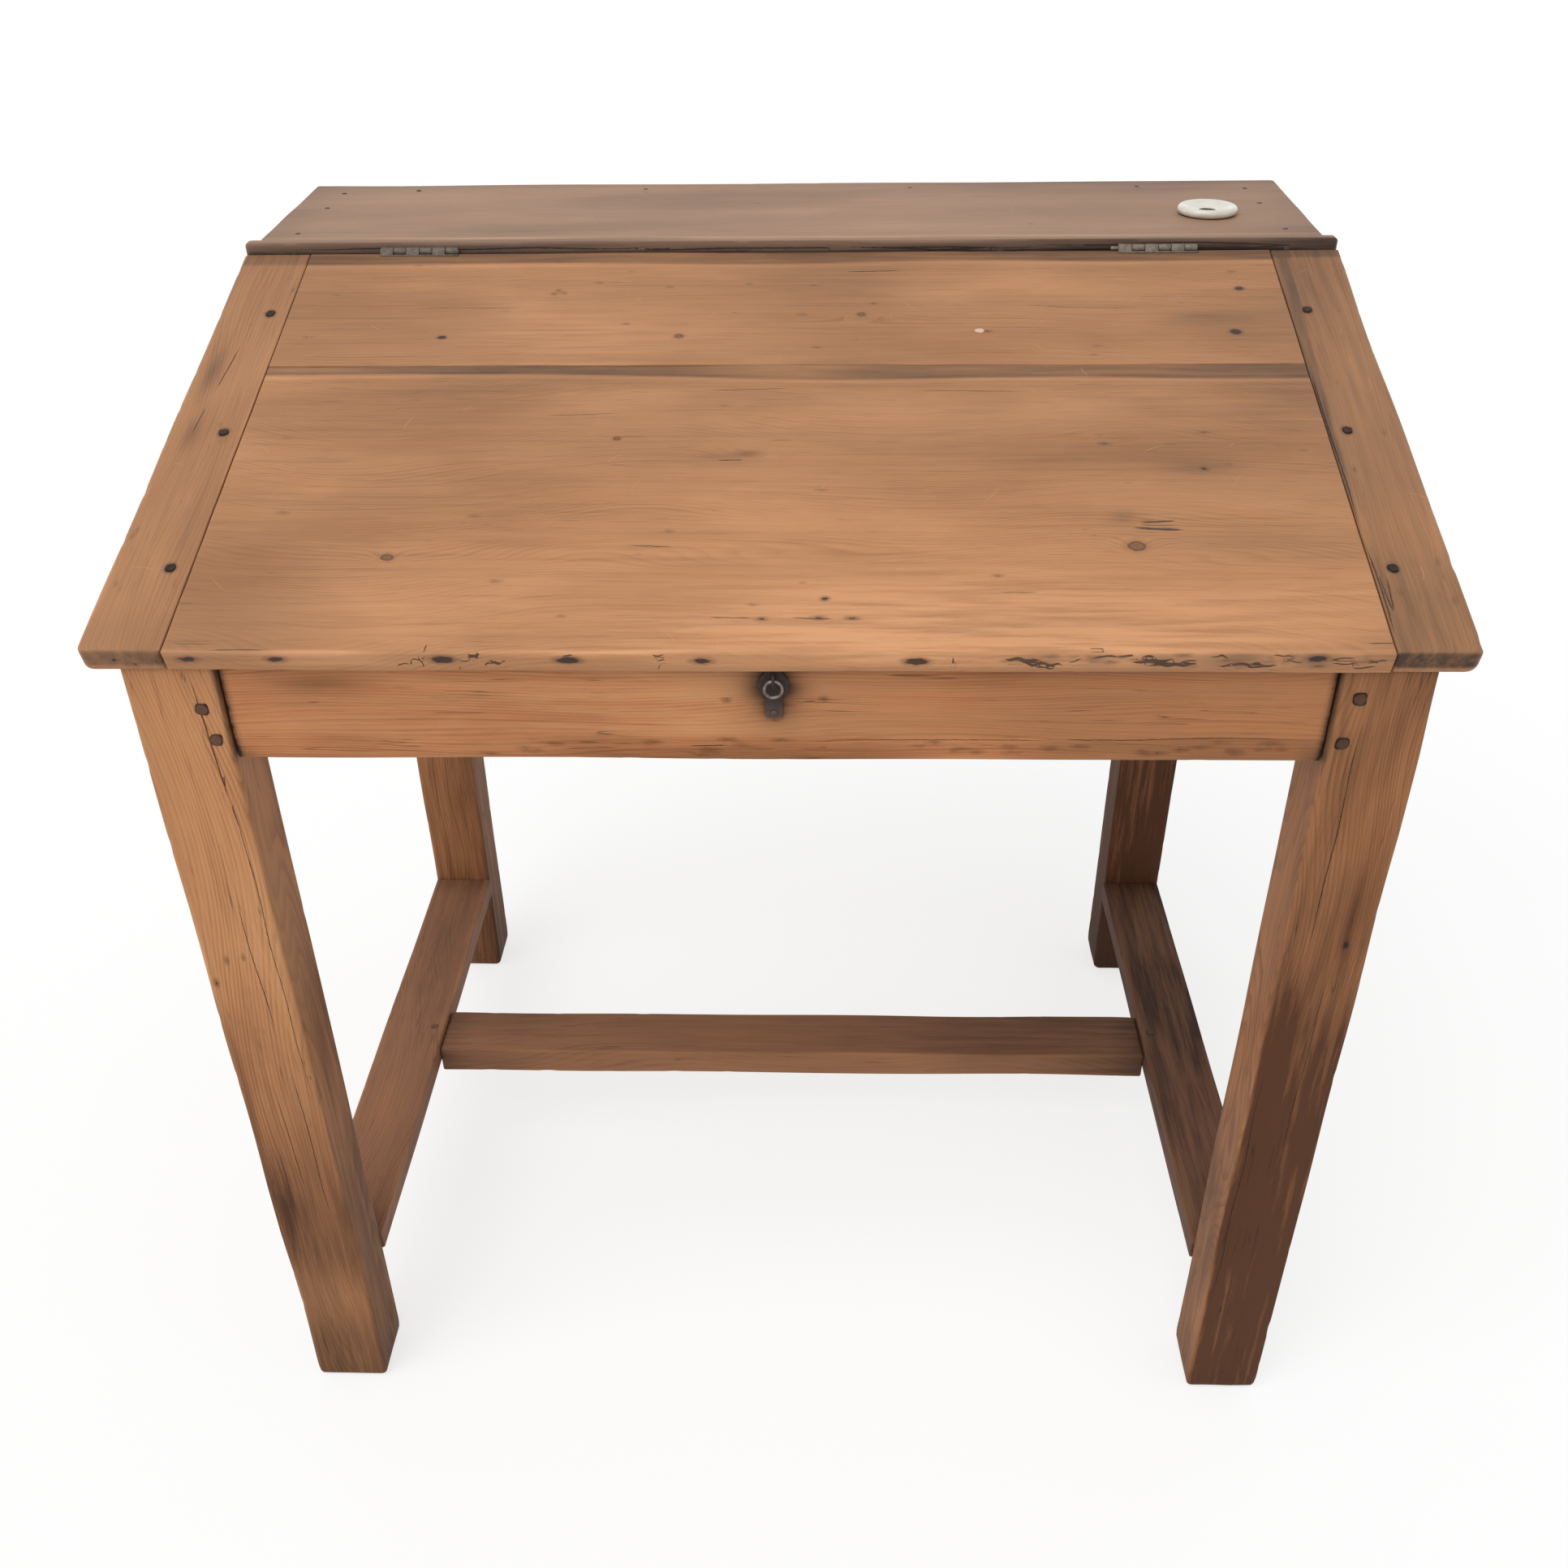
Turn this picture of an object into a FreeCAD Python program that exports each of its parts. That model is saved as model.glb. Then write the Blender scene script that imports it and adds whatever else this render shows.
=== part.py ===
import FreeCAD, Part
import Sketcher
import os
import re

# Slope-top desk of pegged pine with a hinged lid, a fixed rear shelf, an inkwell and a ring pull.
# Lengths are millimetres. +X is the sitter's right, +Y the rear and +Z up. The origin is on the floor,
# under the middle of the desk.

# Driving sizes, each with its name in the sheet.
SIZES = (
    ("lid_width", 920, "lid, end to end"),
    ("lid_thickness", 17, "lid boards and cleats"),
    ("lid_overhang", 8, "lid's front edge past the legs"),
    ("front_edge_height", 760, "top of the lid's front edge"),
    ("lid_rise", 139, "lid's rear edge above its front edge"),
    ("lower_board_depth", 322.5, "lower lid board along the slope"),
    ("upper_board_depth", 163, "upper lid board along the slope"),
    ("cleat_width", 57, "end cleat of the lid"),
    ("tongue_thickness", 6, "tongues of the lid boards"),
    ("end_tongue_length", 22, "tongue into the cleat"),
    ("end_tongue_setback", 20, "tongue's stop behind the lid's edges"),
    ("joint_tongue_length", 7, "tongue between the lid boards"),
    ("lid_peg_width", 7, "square peg in a cleat"),
    ("lid_peg_inset", 14.5, "peg from the cleat's joint"),
    ("seat_gap", 0.3, "lid's underside above the frame"),
    ("shelf_depth", 218, "shelf behind its front strip"),
    ("shelf_thickness", 18, "shelf board"),
    ("shelf_front_inset", 11, "shelf's front corner inside the strip's end"),
    ("shelf_back_inset", 2, "shelf's back corner inside the strip's end"),
    ("shelf_back_overhang", 7, "shelf past the rear legs"),
    ("rail_depth", 12, "strip that carries the hinges"),
    ("rail_height", 24, "height of that strip"),
    ("rail_reveal", 8, "strip above the lid's rear edge"),
    ("lid_end_overhang", 23, "lid's end past the legs"),
    ("leg_width", 64, "leg across the desk"),
    ("leg_depth", 58, "leg front to back"),
    ("apron_height", 72.5, "apron at its front face"),
    ("apron_thickness", 22, "front apron"),
    ("apron_recess", 4, "apron behind the legs' faces"),
    ("panel_thickness", 20, "side and back panels"),
    ("panel_recess", 4, "side panel inside the legs' outer faces"),
    ("back_recess", 8, "back panel inside the rear faces"),
    ("tenon_length", 28, "tenon into a leg"),
    ("tenon_thickness", 10, "tenon of a board"),
    ("tenon_shoulder", 10, "tenon above its board's lower edge"),
    ("apron_tenon_margin", 16.5, "apron's tenon below its upper edge"),
    ("panel_tenon_margin", 20, "side panel's tenon below the front leg's upper edge"),
    ("back_tenon_margin", 56, "back panel's tenon below the shelf"),
    ("leg_peg_width", 9, "square peg in a leg"),
    ("leg_peg_length", 36, "peg's depth into the leg"),
    ("upper_peg_stagger", 5, "left peg lower and right peg higher by this"),
    ("upper_peg_inset", 15, "upper front peg from the leg's inner face"),
    ("lower_peg_inset", 10, "lower front peg from the leg's inner face"),
    ("bearer_width", 15, "square strip under the floor"),
    ("floor_thickness", 12, "floor boards of the box"),
    ("floor_gap", 0.5, "gap round each floor board"),
    ("stretcher_height", 135, "top of the side stretchers"),
    ("stretcher_thickness", 22, "side stretcher, laid flat"),
    ("stretcher_width", 65, "side stretcher across"),
    ("stretcher_inset", 1, "side stretcher inside the legs' outer faces"),
    ("stretcher_tenon_width", 40, "tenon of a side stretcher"),
    ("cross_drop", 5.5, "cross stretcher's top below the side stretchers'"),
    ("cross_thickness", 29, "cross stretcher"),
    ("cross_depth", 64, "cross stretcher front to back"),
    ("cross_offset", 7.5, "cross stretcher behind the middle of the legs"),
    ("cross_tenon_length", 40, "tenon into a side stretcher"),
    ("cross_tenon_width", 44, "that tenon front to back"),
    ("cross_tenon_drop", 3, "that tenon below the stretcher's top"),
    ("cross_peg_inset", 11, "peg from the side stretcher's inner edge"),
    ("stretcher_peg_width", 8, "square peg in a stretcher"),
    ("hinge_length", 66, "barrel of a hinge"),
    ("hinge_inset", 60, "hinge's end from the cleat's joint"),
    ("knuckle_radius", 3.4, "outside of the barrel"),
    ("knuckle_rise", 1, "pin's axis above the lid's rear edge"),
    ("knuckle_gap", 0.4, "end play between knuckles"),
    ("barrel_clearance", 0.4, "wood cut back round the barrel"),
    ("leaf_thickness", 1.8, "hinge leaf"),
    ("leaf_drop", 14, "leaf below the pin's axis"),
    ("leaf_inset", 0.2, "leaf inside the barrel's tangent"),
    ("pin_radius", 1.5, "hinge pin"),
    ("pin_clearance", 0.05, "pin in its knuckles"),
    ("pin_stub", 6, "right pin's free end"),
    ("screw_head_radius", 2.8, "countersunk head"),
    ("screw_radius", 1.4, "shank of a screw"),
    ("screw_length", 11, "screw, head included"),
    ("screw_drop", 8.5, "screws below the pin's axis"),
    ("nail_radius", 1.1, "shank of a nail"),
    ("nail_head_radius", 2.2, "flush head of a nail"),
    ("nail_head_depth", 1, "thickness of that head"),
    ("shelf_nail_length", 45, "nail through the shelf"),
    ("floor_nail_length", 22, "nail through the floor"),
    ("rail_nail_length", 30, "nail through the strip"),
    ("inkwell_inset", 90, "inkwell's middle from the shelf's right back corner"),
    ("inkwell_setback", 80, "inkwell's middle behind the strip"),
    ("well_radius", 21, "cup under the flange"),
    ("flange_width", 5, "flange past the cup"),
    ("flange_thickness", 7, "flange above the shelf"),
    ("flange_round", 2.2, "rounding of the flange"),
    ("rim_width", 4, "rim round the dished top"),
    ("dish_depth", 3, "fall of the dish to the mouth"),
    ("mouth_radius", 7.2, "mouth of the inkwell"),
    ("base_radius", 18, "foot of the cup"),
    ("well_depth", 36, "cup below the shelf's top"),
    ("well_wall", 2.5, "wall of the cup"),
    ("well_clearance", 0.8, "cup in its hole"),
    ("plate_thickness", 1.6, "plate of the pull"),
    ("plate_head_radius", 10.5, "round head of the plate"),
    ("plate_head_drop", 14.5, "middle of that head below the apron's upper edge"),
    ("plate_margin", 3.5, "plate below the apron's upper edge"),
    ("plate_tail_length", 24, "tail below the middle of the head"),
    ("plate_tail_width", 12, "tail of the plate"),
    ("ring_radius", 6, "ring of the pull, to the wire's middle"),
    ("ring_wire_radius", 1.1, "wire of the ring"),
    ("eye_drop", 8.6, "middle of the eye below the apron's upper edge"),
    ("eye_radius", 3.2, "eye, to the wire's middle"),
    ("eye_wire_radius", 1.1, "wire of the eye"),
    ("eye_shank_radius", 1.4, "doubled wire through the apron"),
    ("eye_play", 0.3, "ring above the eye's lower side"),
    ("clench_length", 9, "eye's end bent over inside"),
    ("clench_radius", 0.9, "wire of that end"),
    ("pull_nail_rise", 3.5, "nail above the tail's end"),
    ("pull_nail_length", 14, "that nail"),
)

KNUCKLES = 6
FLOOR_BOARDS = 3

# Sizes that follow from the driving ones.
DERIVED = (
    ("hinge_gap", "2 * (knuckle_radius - leaf_thickness - leaf_inset)"),
    ("lid_length", "lower_board_depth + upper_board_depth"),
    ("lid_run", "sqrt(lid_length ^ 2 - lid_rise ^ 2)"),
    ("lid_slope", "lid_rise / lid_run"),
    ("lid_tilt", "atan(lid_slope)"),
    ("lid_plumb", "lid_thickness * lid_length / lid_run"),
    ("desk_depth", "lid_run + hinge_gap + rail_depth + shelf_depth"),
    ("frame_depth", "desk_depth - lid_overhang - shelf_back_overhang"),
    ("frame_width", "lid_width - 2 * lid_end_overhang"),
    ("shelf_front_width", "lid_width - 2 * shelf_front_inset"),
    ("shelf_back_width", "lid_width - 2 * shelf_back_inset"),
    ("lid_rear_height", "front_edge_height + lid_rise"),
    ("shelf_height", "lid_rear_height + rail_reveal"),
    ("leg_front", "lid_overhang - desk_depth / 2"),
    ("leg_back", "leg_front + frame_depth"),
    ("lid_front", "leg_front - lid_overhang"),
    ("shelf_back", "leg_back + shelf_back_overhang"),
    ("rail_back", "shelf_back - shelf_depth"),
    ("rail_front", "rail_back - rail_depth"),
    ("rail_bottom", "shelf_height - rail_height"),
    ("shelf_bottom", "shelf_height - shelf_thickness"),
    ("seat_rise", "front_edge_height - lid_slope * lid_front - lid_plumb - seat_gap"),
    ("inner_half", "frame_width / 2 - leg_width"),
    ("panel_inner_half", "frame_width / 2 - panel_recess - panel_thickness"),
    ("apron_front", "leg_front + apron_recess"),
    ("apron_back", "apron_front + apron_thickness"),
    ("apron_top", "seat_rise + lid_slope * apron_front"),
    ("apron_bottom", "apron_top - apron_height"),
    ("tenon_bottom", "apron_bottom + tenon_shoulder"),
    ("back_panel_front", "leg_back - back_recess - panel_thickness"),
    ("span_front", "leg_front + leg_depth"),
    ("span_back", "leg_back - leg_depth"),
    ("apron_tenon_height", "apron_top - apron_tenon_margin - tenon_bottom"),
    ("panel_tenon_height", "seat_rise + lid_slope * span_front - panel_tenon_margin - tenon_bottom"),
    ("back_tenon_height", "shelf_bottom - back_tenon_margin - tenon_bottom"),
    ("floor_bottom", "apron_bottom + bearer_width"),
    ("floor_step", f"(back_panel_front - apron_back) / {FLOOR_BOARDS}"),
    ("board_half", "lid_width / 2 - cleat_width"),
    ("tongue_top", "(tongue_thickness - lid_thickness) / 2"),
    ("hinge_offset", "board_half - hinge_inset - hinge_length / 2"),
    ("axis_back", "rail_front - hinge_gap / 2"),
    ("axis_height", "lid_rear_height + knuckle_rise"),
    ("knuckle_pitch", f"hinge_length / {KNUCKLES}"),
    ("inkwell_right", "shelf_back_width / 2 - inkwell_inset"),
    ("inkwell_back", "rail_back + inkwell_setback"),
    ("flange_radius", "well_radius + flange_width"),
    ("plate_front", "apron_front - plate_thickness"),
    ("plate_head_height", "apron_top - plate_head_drop"),
    ("plate_tail_bottom", "plate_head_height - plate_tail_length"),
    ("pull_nail_height", "plate_tail_bottom + pull_nail_rise"),
    ("eye_height", "apron_top - eye_drop"),
    ("eye_front", "plate_front - eye_radius - eye_wire_radius"),
    ("ring_top", "eye_height - eye_radius + eye_wire_radius + ring_wire_radius + eye_play"),
    ("cross_height", "stretcher_height - cross_drop"),
    ("cross_middle", "leg_front + frame_depth / 2 + cross_offset"),
    ("stretcher_middle", "frame_width / 2 - stretcher_inset - stretcher_width / 2"),
)

LID_PEG_SHARES = (0.173, 0.489, 0.815)
UPPER_PEG_SHARE = 0.76
LOWER_PEG_SHARE = 0.13
SCREW_SHARES = (-0.35, 0.0, 0.35)
SIDE_NAIL_SHARES = (0.1, 0.55)
BACK_NAIL_SHARES = (-0.95, -0.37, 0.3, 0.87)
RAIL_NAIL_SHARES = (-0.93, -0.4, 0.0, 0.4, 0.93)
FLOOR_NAIL_SHARES = (0.25, 0.75)
PANEL_PEG_SHARES = (0.25, 0.75)
BACK_PEG_SHARES = (0.2, 0.8)
ROUND_LIMIT_SHARE = 0.45
SIDES = (("left", -1), ("right", 1))

ALONG_Y = FreeCAD.Rotation(FreeCAD.Vector(1, 0, 0), -90)
AGAINST_Y = FreeCAD.Rotation(FreeCAD.Vector(1, 0, 0), 90)
ALONG_X = FreeCAD.Rotation(FreeCAD.Vector(0, 1, 0), 90)
UPRIGHT = FreeCAD.Rotation()

doc = FreeCAD.newDocument("slope_top_desk")
sheet = doc.addObject("Spreadsheet::Sheet", "sizes")
finished = []


def fill_sheet():
    """Driving sizes as plain numbers, then the sizes worked out from them."""
    row = 0
    for alias, value, note in SIZES:
        row += 1
        sheet.set(f"A{row}", note)
        sheet.set(f"B{row}", str(value))
        sheet.setAlias(f"B{row}", alias)
    for alias, formula in DERIVED:
        row += 1
        sheet.set(f"A{row}", "worked out")
        sheet.set(f"B{row}", "=" + formula)
        sheet.setAlias(f"B{row}", alias)
    doc.recompute()


def bound(words):
    """An expression in which each size name points at its cell of the sheet."""
    return re.sub(r"[a-z]+_[a-z_]+", lambda found: "sizes." + found.group(0), words)


def bind(thing, **expressions):
    """Ties properties of one object to expressions in the sheet's names."""
    for prop, words in expressions.items():
        thing.setExpression(prop, bound(words))
    return thing


def place(thing, x, y, z, turn=UPRIGHT):
    """Ties an object's place to the sheet and turns it."""
    thing.Placement = FreeCAD.Placement(FreeCAD.Vector(), turn)
    for axis, words in zip("xyz", (x, y, z)):
        thing.setExpression("Placement.Base." + axis, bound(words))
    return thing


def on_lid(thing, x="0"):
    """Lays an object built flat, front edge at zero and top face at zero, along the lid's slope."""
    place(thing, x, "lid_front", "front_edge_height", FreeCAD.Rotation(FreeCAD.Vector(1, 0, 0), 1))
    thing.setExpression("Placement.Rotation.Angle", bound("lid_tilt"))
    return thing


def box(name, x, y, z, wide, deep, tall):
    """A board or block with its lowest corner at x, y and z."""
    thing = doc.addObject("Part::Box", name)
    return place(bind(thing, Length=wide, Width=deep, Height=tall), x, y, z)


def rod(name, x, y, z, radius, length, turn=UPRIGHT):
    """A round bar from one end point, along +Z unless it is turned."""
    thing = doc.addObject("Part::Cylinder", name)
    return place(bind(thing, Radius=radius, Height=length), x, y, z, turn)


def hoop(name, x, y, z, radius, wire, turn):
    """A closed ring of round wire."""
    thing = doc.addObject("Part::Torus", name)
    return place(bind(thing, Radius1=radius, Radius2=wire), x, y, z, turn)


def outline_sketch(body, role, points):
    """A closed outline of straight lines whose corners are tied to the sheet."""
    sketch = body.newObject("Sketcher::SketchObject", body.Name + "_outline")
    plane = next(item for item in body.Origin.OriginFeatures if item.Role == role)
    sketch.AttachmentSupport = (plane, [""])
    sketch.MapMode = "FlatFace"
    corners = [[bound(words) for words in point] for point in points]
    values = [[float(sketch.evalExpression(words)) for words in corner] for corner in corners]
    spots = [FreeCAD.Vector(across, up, 0) for across, up in values]
    count = len(spots)
    lines = [Part.LineSegment(spots[i], spots[(i + 1) % count]) for i in range(count)]
    sketch.addGeometry(lines, False)
    for i in range(count):
        sketch.addConstraint(Sketcher.Constraint("Coincident", i, 2, (i + 1) % count, 1))
    for i in range(count):
        for kind, words, value in zip(("DistanceX", "DistanceY"), corners[i], values[i]):
            index = sketch.addConstraint(Sketcher.Constraint(kind, i, 1, value))
            sketch.setExpression(f"Constraints[{index}]", words)
    return sketch


def prism(name, role, points, length):
    """An outline on one of the main planes, made solid equally to both sides of that plane."""
    body = doc.addObject("PartDesign::Body", name)
    sketch = outline_sketch(body, role, points)
    pad = body.newObject("PartDesign::Pad", name + "_pad")
    pad.Profile = sketch
    pad.SideType = "Symmetric"
    bind(pad, Length=length)
    return body


def join(name, things):
    """Pieces that touch become one solid, and pieces that stand apart stay separate solids."""
    thing = doc.addObject("Part::MultiFuse", name)
    thing.Shapes = things
    return thing


def group(name, things):
    """Like pieces kept as separate solids of one group."""
    thing = doc.addObject("Part::Compound", name)
    thing.Links = things
    return thing


def cut(name, base, tools):
    """The base with the room for each tool taken out."""
    thing = doc.addObject("Part::Cut", name)
    thing.Base = base
    thing.Tool = tools[0] if len(tools) == 1 else join(name + "_room", tools)
    return thing


def keep(label, thing):
    """Names a finished sub-part, which is then written to a file of that name."""
    thing.Label = label
    finished.append(thing)
    return thing


def seat(where):
    """Height of the frame's sloping upper edge at a place front to back."""
    return f"seat_rise + lid_slope * ({where})"


def nails(name, places, length):
    """Nails driven straight down, heads flush with the height given for each."""
    solids = []
    for number, (x, y, z) in enumerate(places):
        shank = rod(f"{name}_shank_{number}", x, y, f"{z} - {length}", "nail_radius", length)
        head = rod(f"{name}_head_{number}", x, y, f"{z} - nail_head_depth", "nail_head_radius",
                   "nail_head_depth")
        solids += [shank, head]
    return join(name, solids)


def make_pegs():
    """Square pegs of the frame, each from the face of its leg or stretcher inwards."""
    half = "leg_peg_width / 2"
    front = []
    rear = []
    outer = []
    low = []
    for side, sign in SIDES:
        upper = (f"{sign} * (inner_half + upper_peg_inset)",
                 f"tenon_bottom + {UPPER_PEG_SHARE} * apron_tenon_height + {sign} * upper_peg_stagger")
        lower = (f"{sign} * (inner_half + lower_peg_inset)",
                 f"tenon_bottom + {LOWER_PEG_SHARE} * apron_tenon_height")
        for level, (x, z) in zip(("upper", "lower"), (upper, lower)):
            front.append(box(f"{side}_{level}_front_peg", f"{x} - {half}", "leg_front", f"{z} - {half}",
                             "leg_peg_width", "leg_peg_length", "leg_peg_width"))
        for number, share in enumerate(BACK_PEG_SHARES):
            z = f"tenon_bottom + {share} * back_tenon_height"
            x = f"{sign} * (inner_half + tenon_length / 2)"
            rear.append(box(f"{side}_back_peg_{number}", f"{x} - {half}", "leg_back - leg_peg_length",
                            f"{z} - {half}", "leg_peg_width", "leg_peg_length", "leg_peg_width"))
        x = "frame_width / 2 - leg_peg_length" if sign > 0 else "-frame_width / 2"
        tenon_middles = (("front", "span_front - tenon_length / 2"), ("rear", "span_back + tenon_length / 2"))
        for end, y in tenon_middles:
            for number, share in enumerate(PANEL_PEG_SHARES):
                z = f"tenon_bottom + {share} * panel_tenon_height"
                outer.append(box(f"{side}_{end}_panel_peg_{number}", x, f"{y} - {half}", f"{z} - {half}",
                                 "leg_peg_length", "leg_peg_width", "leg_peg_width"))
            z = "stretcher_height - stretcher_thickness / 2 - stretcher_peg_width / 2"
            low.append(box(f"{side}_{end}_stretcher_peg", x, f"{y} - stretcher_peg_width / 2", z,
                           "leg_peg_length", "stretcher_peg_width", "stretcher_peg_width"))
        x = f"{sign} * (stretcher_middle - stretcher_width / 2 + cross_peg_inset) - stretcher_peg_width / 2"
        low.append(box(f"{side}_cross_peg", x, "cross_middle - stretcher_peg_width / 2",
                       "stretcher_height - stretcher_thickness", "stretcher_peg_width", "stretcher_peg_width",
                       "stretcher_thickness"))
    return {
        "front": keep("front_leg_pegs", group("front_pegs", front)),
        "rear": keep("back_panel_pegs", group("rear_pegs", rear)),
        "outer": keep("side_panel_pegs", group("outer_pegs", outer)),
        "low": keep("stretcher_pegs", group("low_pegs", low)),
    }


def make_pull():
    """Plate, cotter eye, ring and nail of the pull on the apron."""
    head = rod("plate_head", "0", "plate_front", "plate_head_height", "plate_head_radius", "plate_thickness",
               ALONG_Y)
    neck = box("plate_neck", "-plate_tail_width / 2", "plate_front", "plate_head_height",
               "plate_tail_width", "plate_thickness", "plate_head_drop - plate_margin")
    tail = box("plate_tail", "-plate_tail_width / 2", "plate_front", "plate_tail_bottom",
               "plate_tail_width", "plate_thickness", "plate_tail_length")
    loop = hoop("eye_loop", "0", "eye_front", "eye_height", "eye_radius", "eye_wire_radius", ALONG_X)
    shank = rod("eye_shank", "0", "eye_front + eye_radius", "eye_height", "eye_shank_radius",
                "apron_back + clench_radius - eye_front - eye_radius", ALONG_Y)
    ends = rod("eye_ends", "-clench_length", "apron_back + clench_radius", "eye_height", "clench_radius",
               "2 * clench_length", ALONG_X)
    eye = keep("pull_eye", join("eye", [loop, shank, ends]))
    nail_head = rod("pull_nail_head", "0", "plate_front - nail_head_depth", "pull_nail_height",
                    "nail_head_radius", "nail_head_depth", ALONG_Y)
    nail_shank = rod("pull_nail_shank", "0", "plate_front", "pull_nail_height", "nail_radius",
                     "pull_nail_length", ALONG_Y)
    nail = keep("pull_nail", join("plate_nail", [nail_head, nail_shank]))
    keep("pull_plate", cut("plate", join("plate_blank", [head, neck, tail]), [eye, nail]))
    keep("pull_ring", hoop("ring", "0", "eye_front", "ring_top - ring_radius", "ring_radius",
                           "ring_wire_radius", AGAINST_Y))
    return [eye, nail]


def make_apron(pegs, pull):
    """Front board between the legs, its upper edge cut to the lid's slope."""
    board = prism("apron_board", "YZ_Plane", (
        ("apron_front", "apron_bottom"),
        ("apron_back", "apron_bottom"),
        ("apron_back", seat("apron_back")),
        ("apron_front", "apron_top"),
    ), "2 * inner_half")
    tenons = box("apron_tenons", "-inner_half - tenon_length",
                 "apron_front + (apron_thickness - tenon_thickness) / 2", "tenon_bottom",
                 "2 * (inner_half + tenon_length)", "tenon_thickness", "apron_tenon_height")
    blank = join("apron_blank", [board, tenons])
    keep("front_apron", cut("apron", blank, [pegs["front"], *pull]))
    return blank


def make_side_panel(side, sign, pegs, shelf_nails):
    """Side board: its edge follows the lid, then steps up under the strip and the shelf."""
    board = prism(f"{side}_panel_board", "YZ_Plane", (
        ("span_front", "apron_bottom"),
        ("span_back", "apron_bottom"),
        ("span_back", "shelf_bottom"),
        ("rail_back", "shelf_bottom"),
        ("rail_back", "rail_bottom"),
        ("axis_back", "rail_bottom"),
        ("axis_back", seat("axis_back - hinge_gap / 2")),
        ("axis_back - hinge_gap / 2", seat("axis_back - hinge_gap / 2")),
        ("span_front", seat("span_front")),
    ), "panel_thickness")
    middle = f"{sign} * (panel_inner_half + panel_thickness / 2)"
    place(board, middle, "0", "0")
    tenons = box(f"{side}_panel_tenons", f"{middle} - tenon_thickness / 2", "span_front - tenon_length",
                 "tenon_bottom", "tenon_thickness",
                 "span_back - span_front + 2 * tenon_length", "panel_tenon_height")
    blank = join(f"{side}_panel_blank", [board, tenons])
    keep(f"{side}_side_panel", cut(f"{side}_panel", blank, [pegs["outer"], shelf_nails]))
    return blank


def make_back_panel(pegs, shelf_nails):
    """Back board between the rear legs, up to the shelf."""
    board = box("back_board", "-inner_half", "back_panel_front", "apron_bottom", "2 * inner_half",
                "panel_thickness", "shelf_bottom - apron_bottom")
    tenons = box("back_tenons", "-inner_half - tenon_length",
                 "back_panel_front + (panel_thickness - tenon_thickness) / 2", "tenon_bottom",
                 "2 * (inner_half + tenon_length)", "tenon_thickness", "back_tenon_height")
    blank = join("back_blank", [board, tenons])
    keep("back_panel", cut("back", blank, [pegs["rear"], shelf_nails]))
    return blank


def make_stretchers(pegs):
    """Side stretchers laid flat between the legs, and the cross stretcher tenoned into them."""
    bar = box("cross_bar", "stretcher_width / 2 - stretcher_middle", "cross_middle - cross_depth / 2",
              "cross_height - cross_thickness", "2 * stretcher_middle - stretcher_width", "cross_depth",
              "cross_thickness")
    tenons = box("cross_tenons", "stretcher_width / 2 - stretcher_middle - cross_tenon_length",
                 "cross_middle - cross_tenon_width / 2",
                 "cross_height - cross_tenon_drop - tenon_thickness",
                 "2 * (stretcher_middle + cross_tenon_length) - stretcher_width", "cross_tenon_width",
                 "tenon_thickness")
    cross = join("cross_blank", [bar, tenons])
    keep("cross_stretcher", cut("cross", cross, [pegs["low"]]))
    blanks = {}
    for side, sign in SIDES:
        x = f"{sign} * stretcher_middle"
        flat = box(f"{side}_stretcher_bar", f"{x} - stretcher_width / 2", "span_front",
                   "stretcher_height - stretcher_thickness", "stretcher_width", "span_back - span_front",
                   "stretcher_thickness")
        ends = box(f"{side}_stretcher_tenons", f"{x} - stretcher_tenon_width / 2",
                   "span_front - tenon_length",
                   "stretcher_height - (stretcher_thickness + tenon_thickness) / 2",
                   "stretcher_tenon_width", "span_back - span_front + 2 * tenon_length", "tenon_thickness")
        blanks[side] = join(f"{side}_stretcher_blank", [flat, ends])
        keep(f"{side}_side_stretcher", cut(f"{side}_stretcher", blanks[side], [cross, pegs["low"]]))
    return blanks


def make_legs(side, sign, pegs, shelf_nails, apron, panel, back, stretcher):
    """Front leg cut to the lid's slope, and rear leg up to the shelf, with their mortises."""
    x = f"{sign} * (frame_width - leg_width) / 2"
    front = prism(f"{side}_front_post", "YZ_Plane", (
        ("leg_front", "0"),
        ("span_front", "0"),
        ("span_front", seat("span_front")),
        ("leg_front", seat("leg_front")),
    ), "leg_width")
    place(front, x, "0", "0")
    keep(f"front_{side}_leg", cut(f"{side}_front", front, [apron, panel, stretcher, *pegs.values()]))
    rear = box(f"{side}_rear_post", f"{x} - leg_width / 2", "span_back", "0", "leg_width", "leg_depth",
               "shelf_bottom")
    rear_room = [back, panel, stretcher, shelf_nails, *pegs.values()]
    keep(f"rear_{side}_leg", cut(f"{side}_rear", rear, rear_room))


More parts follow.
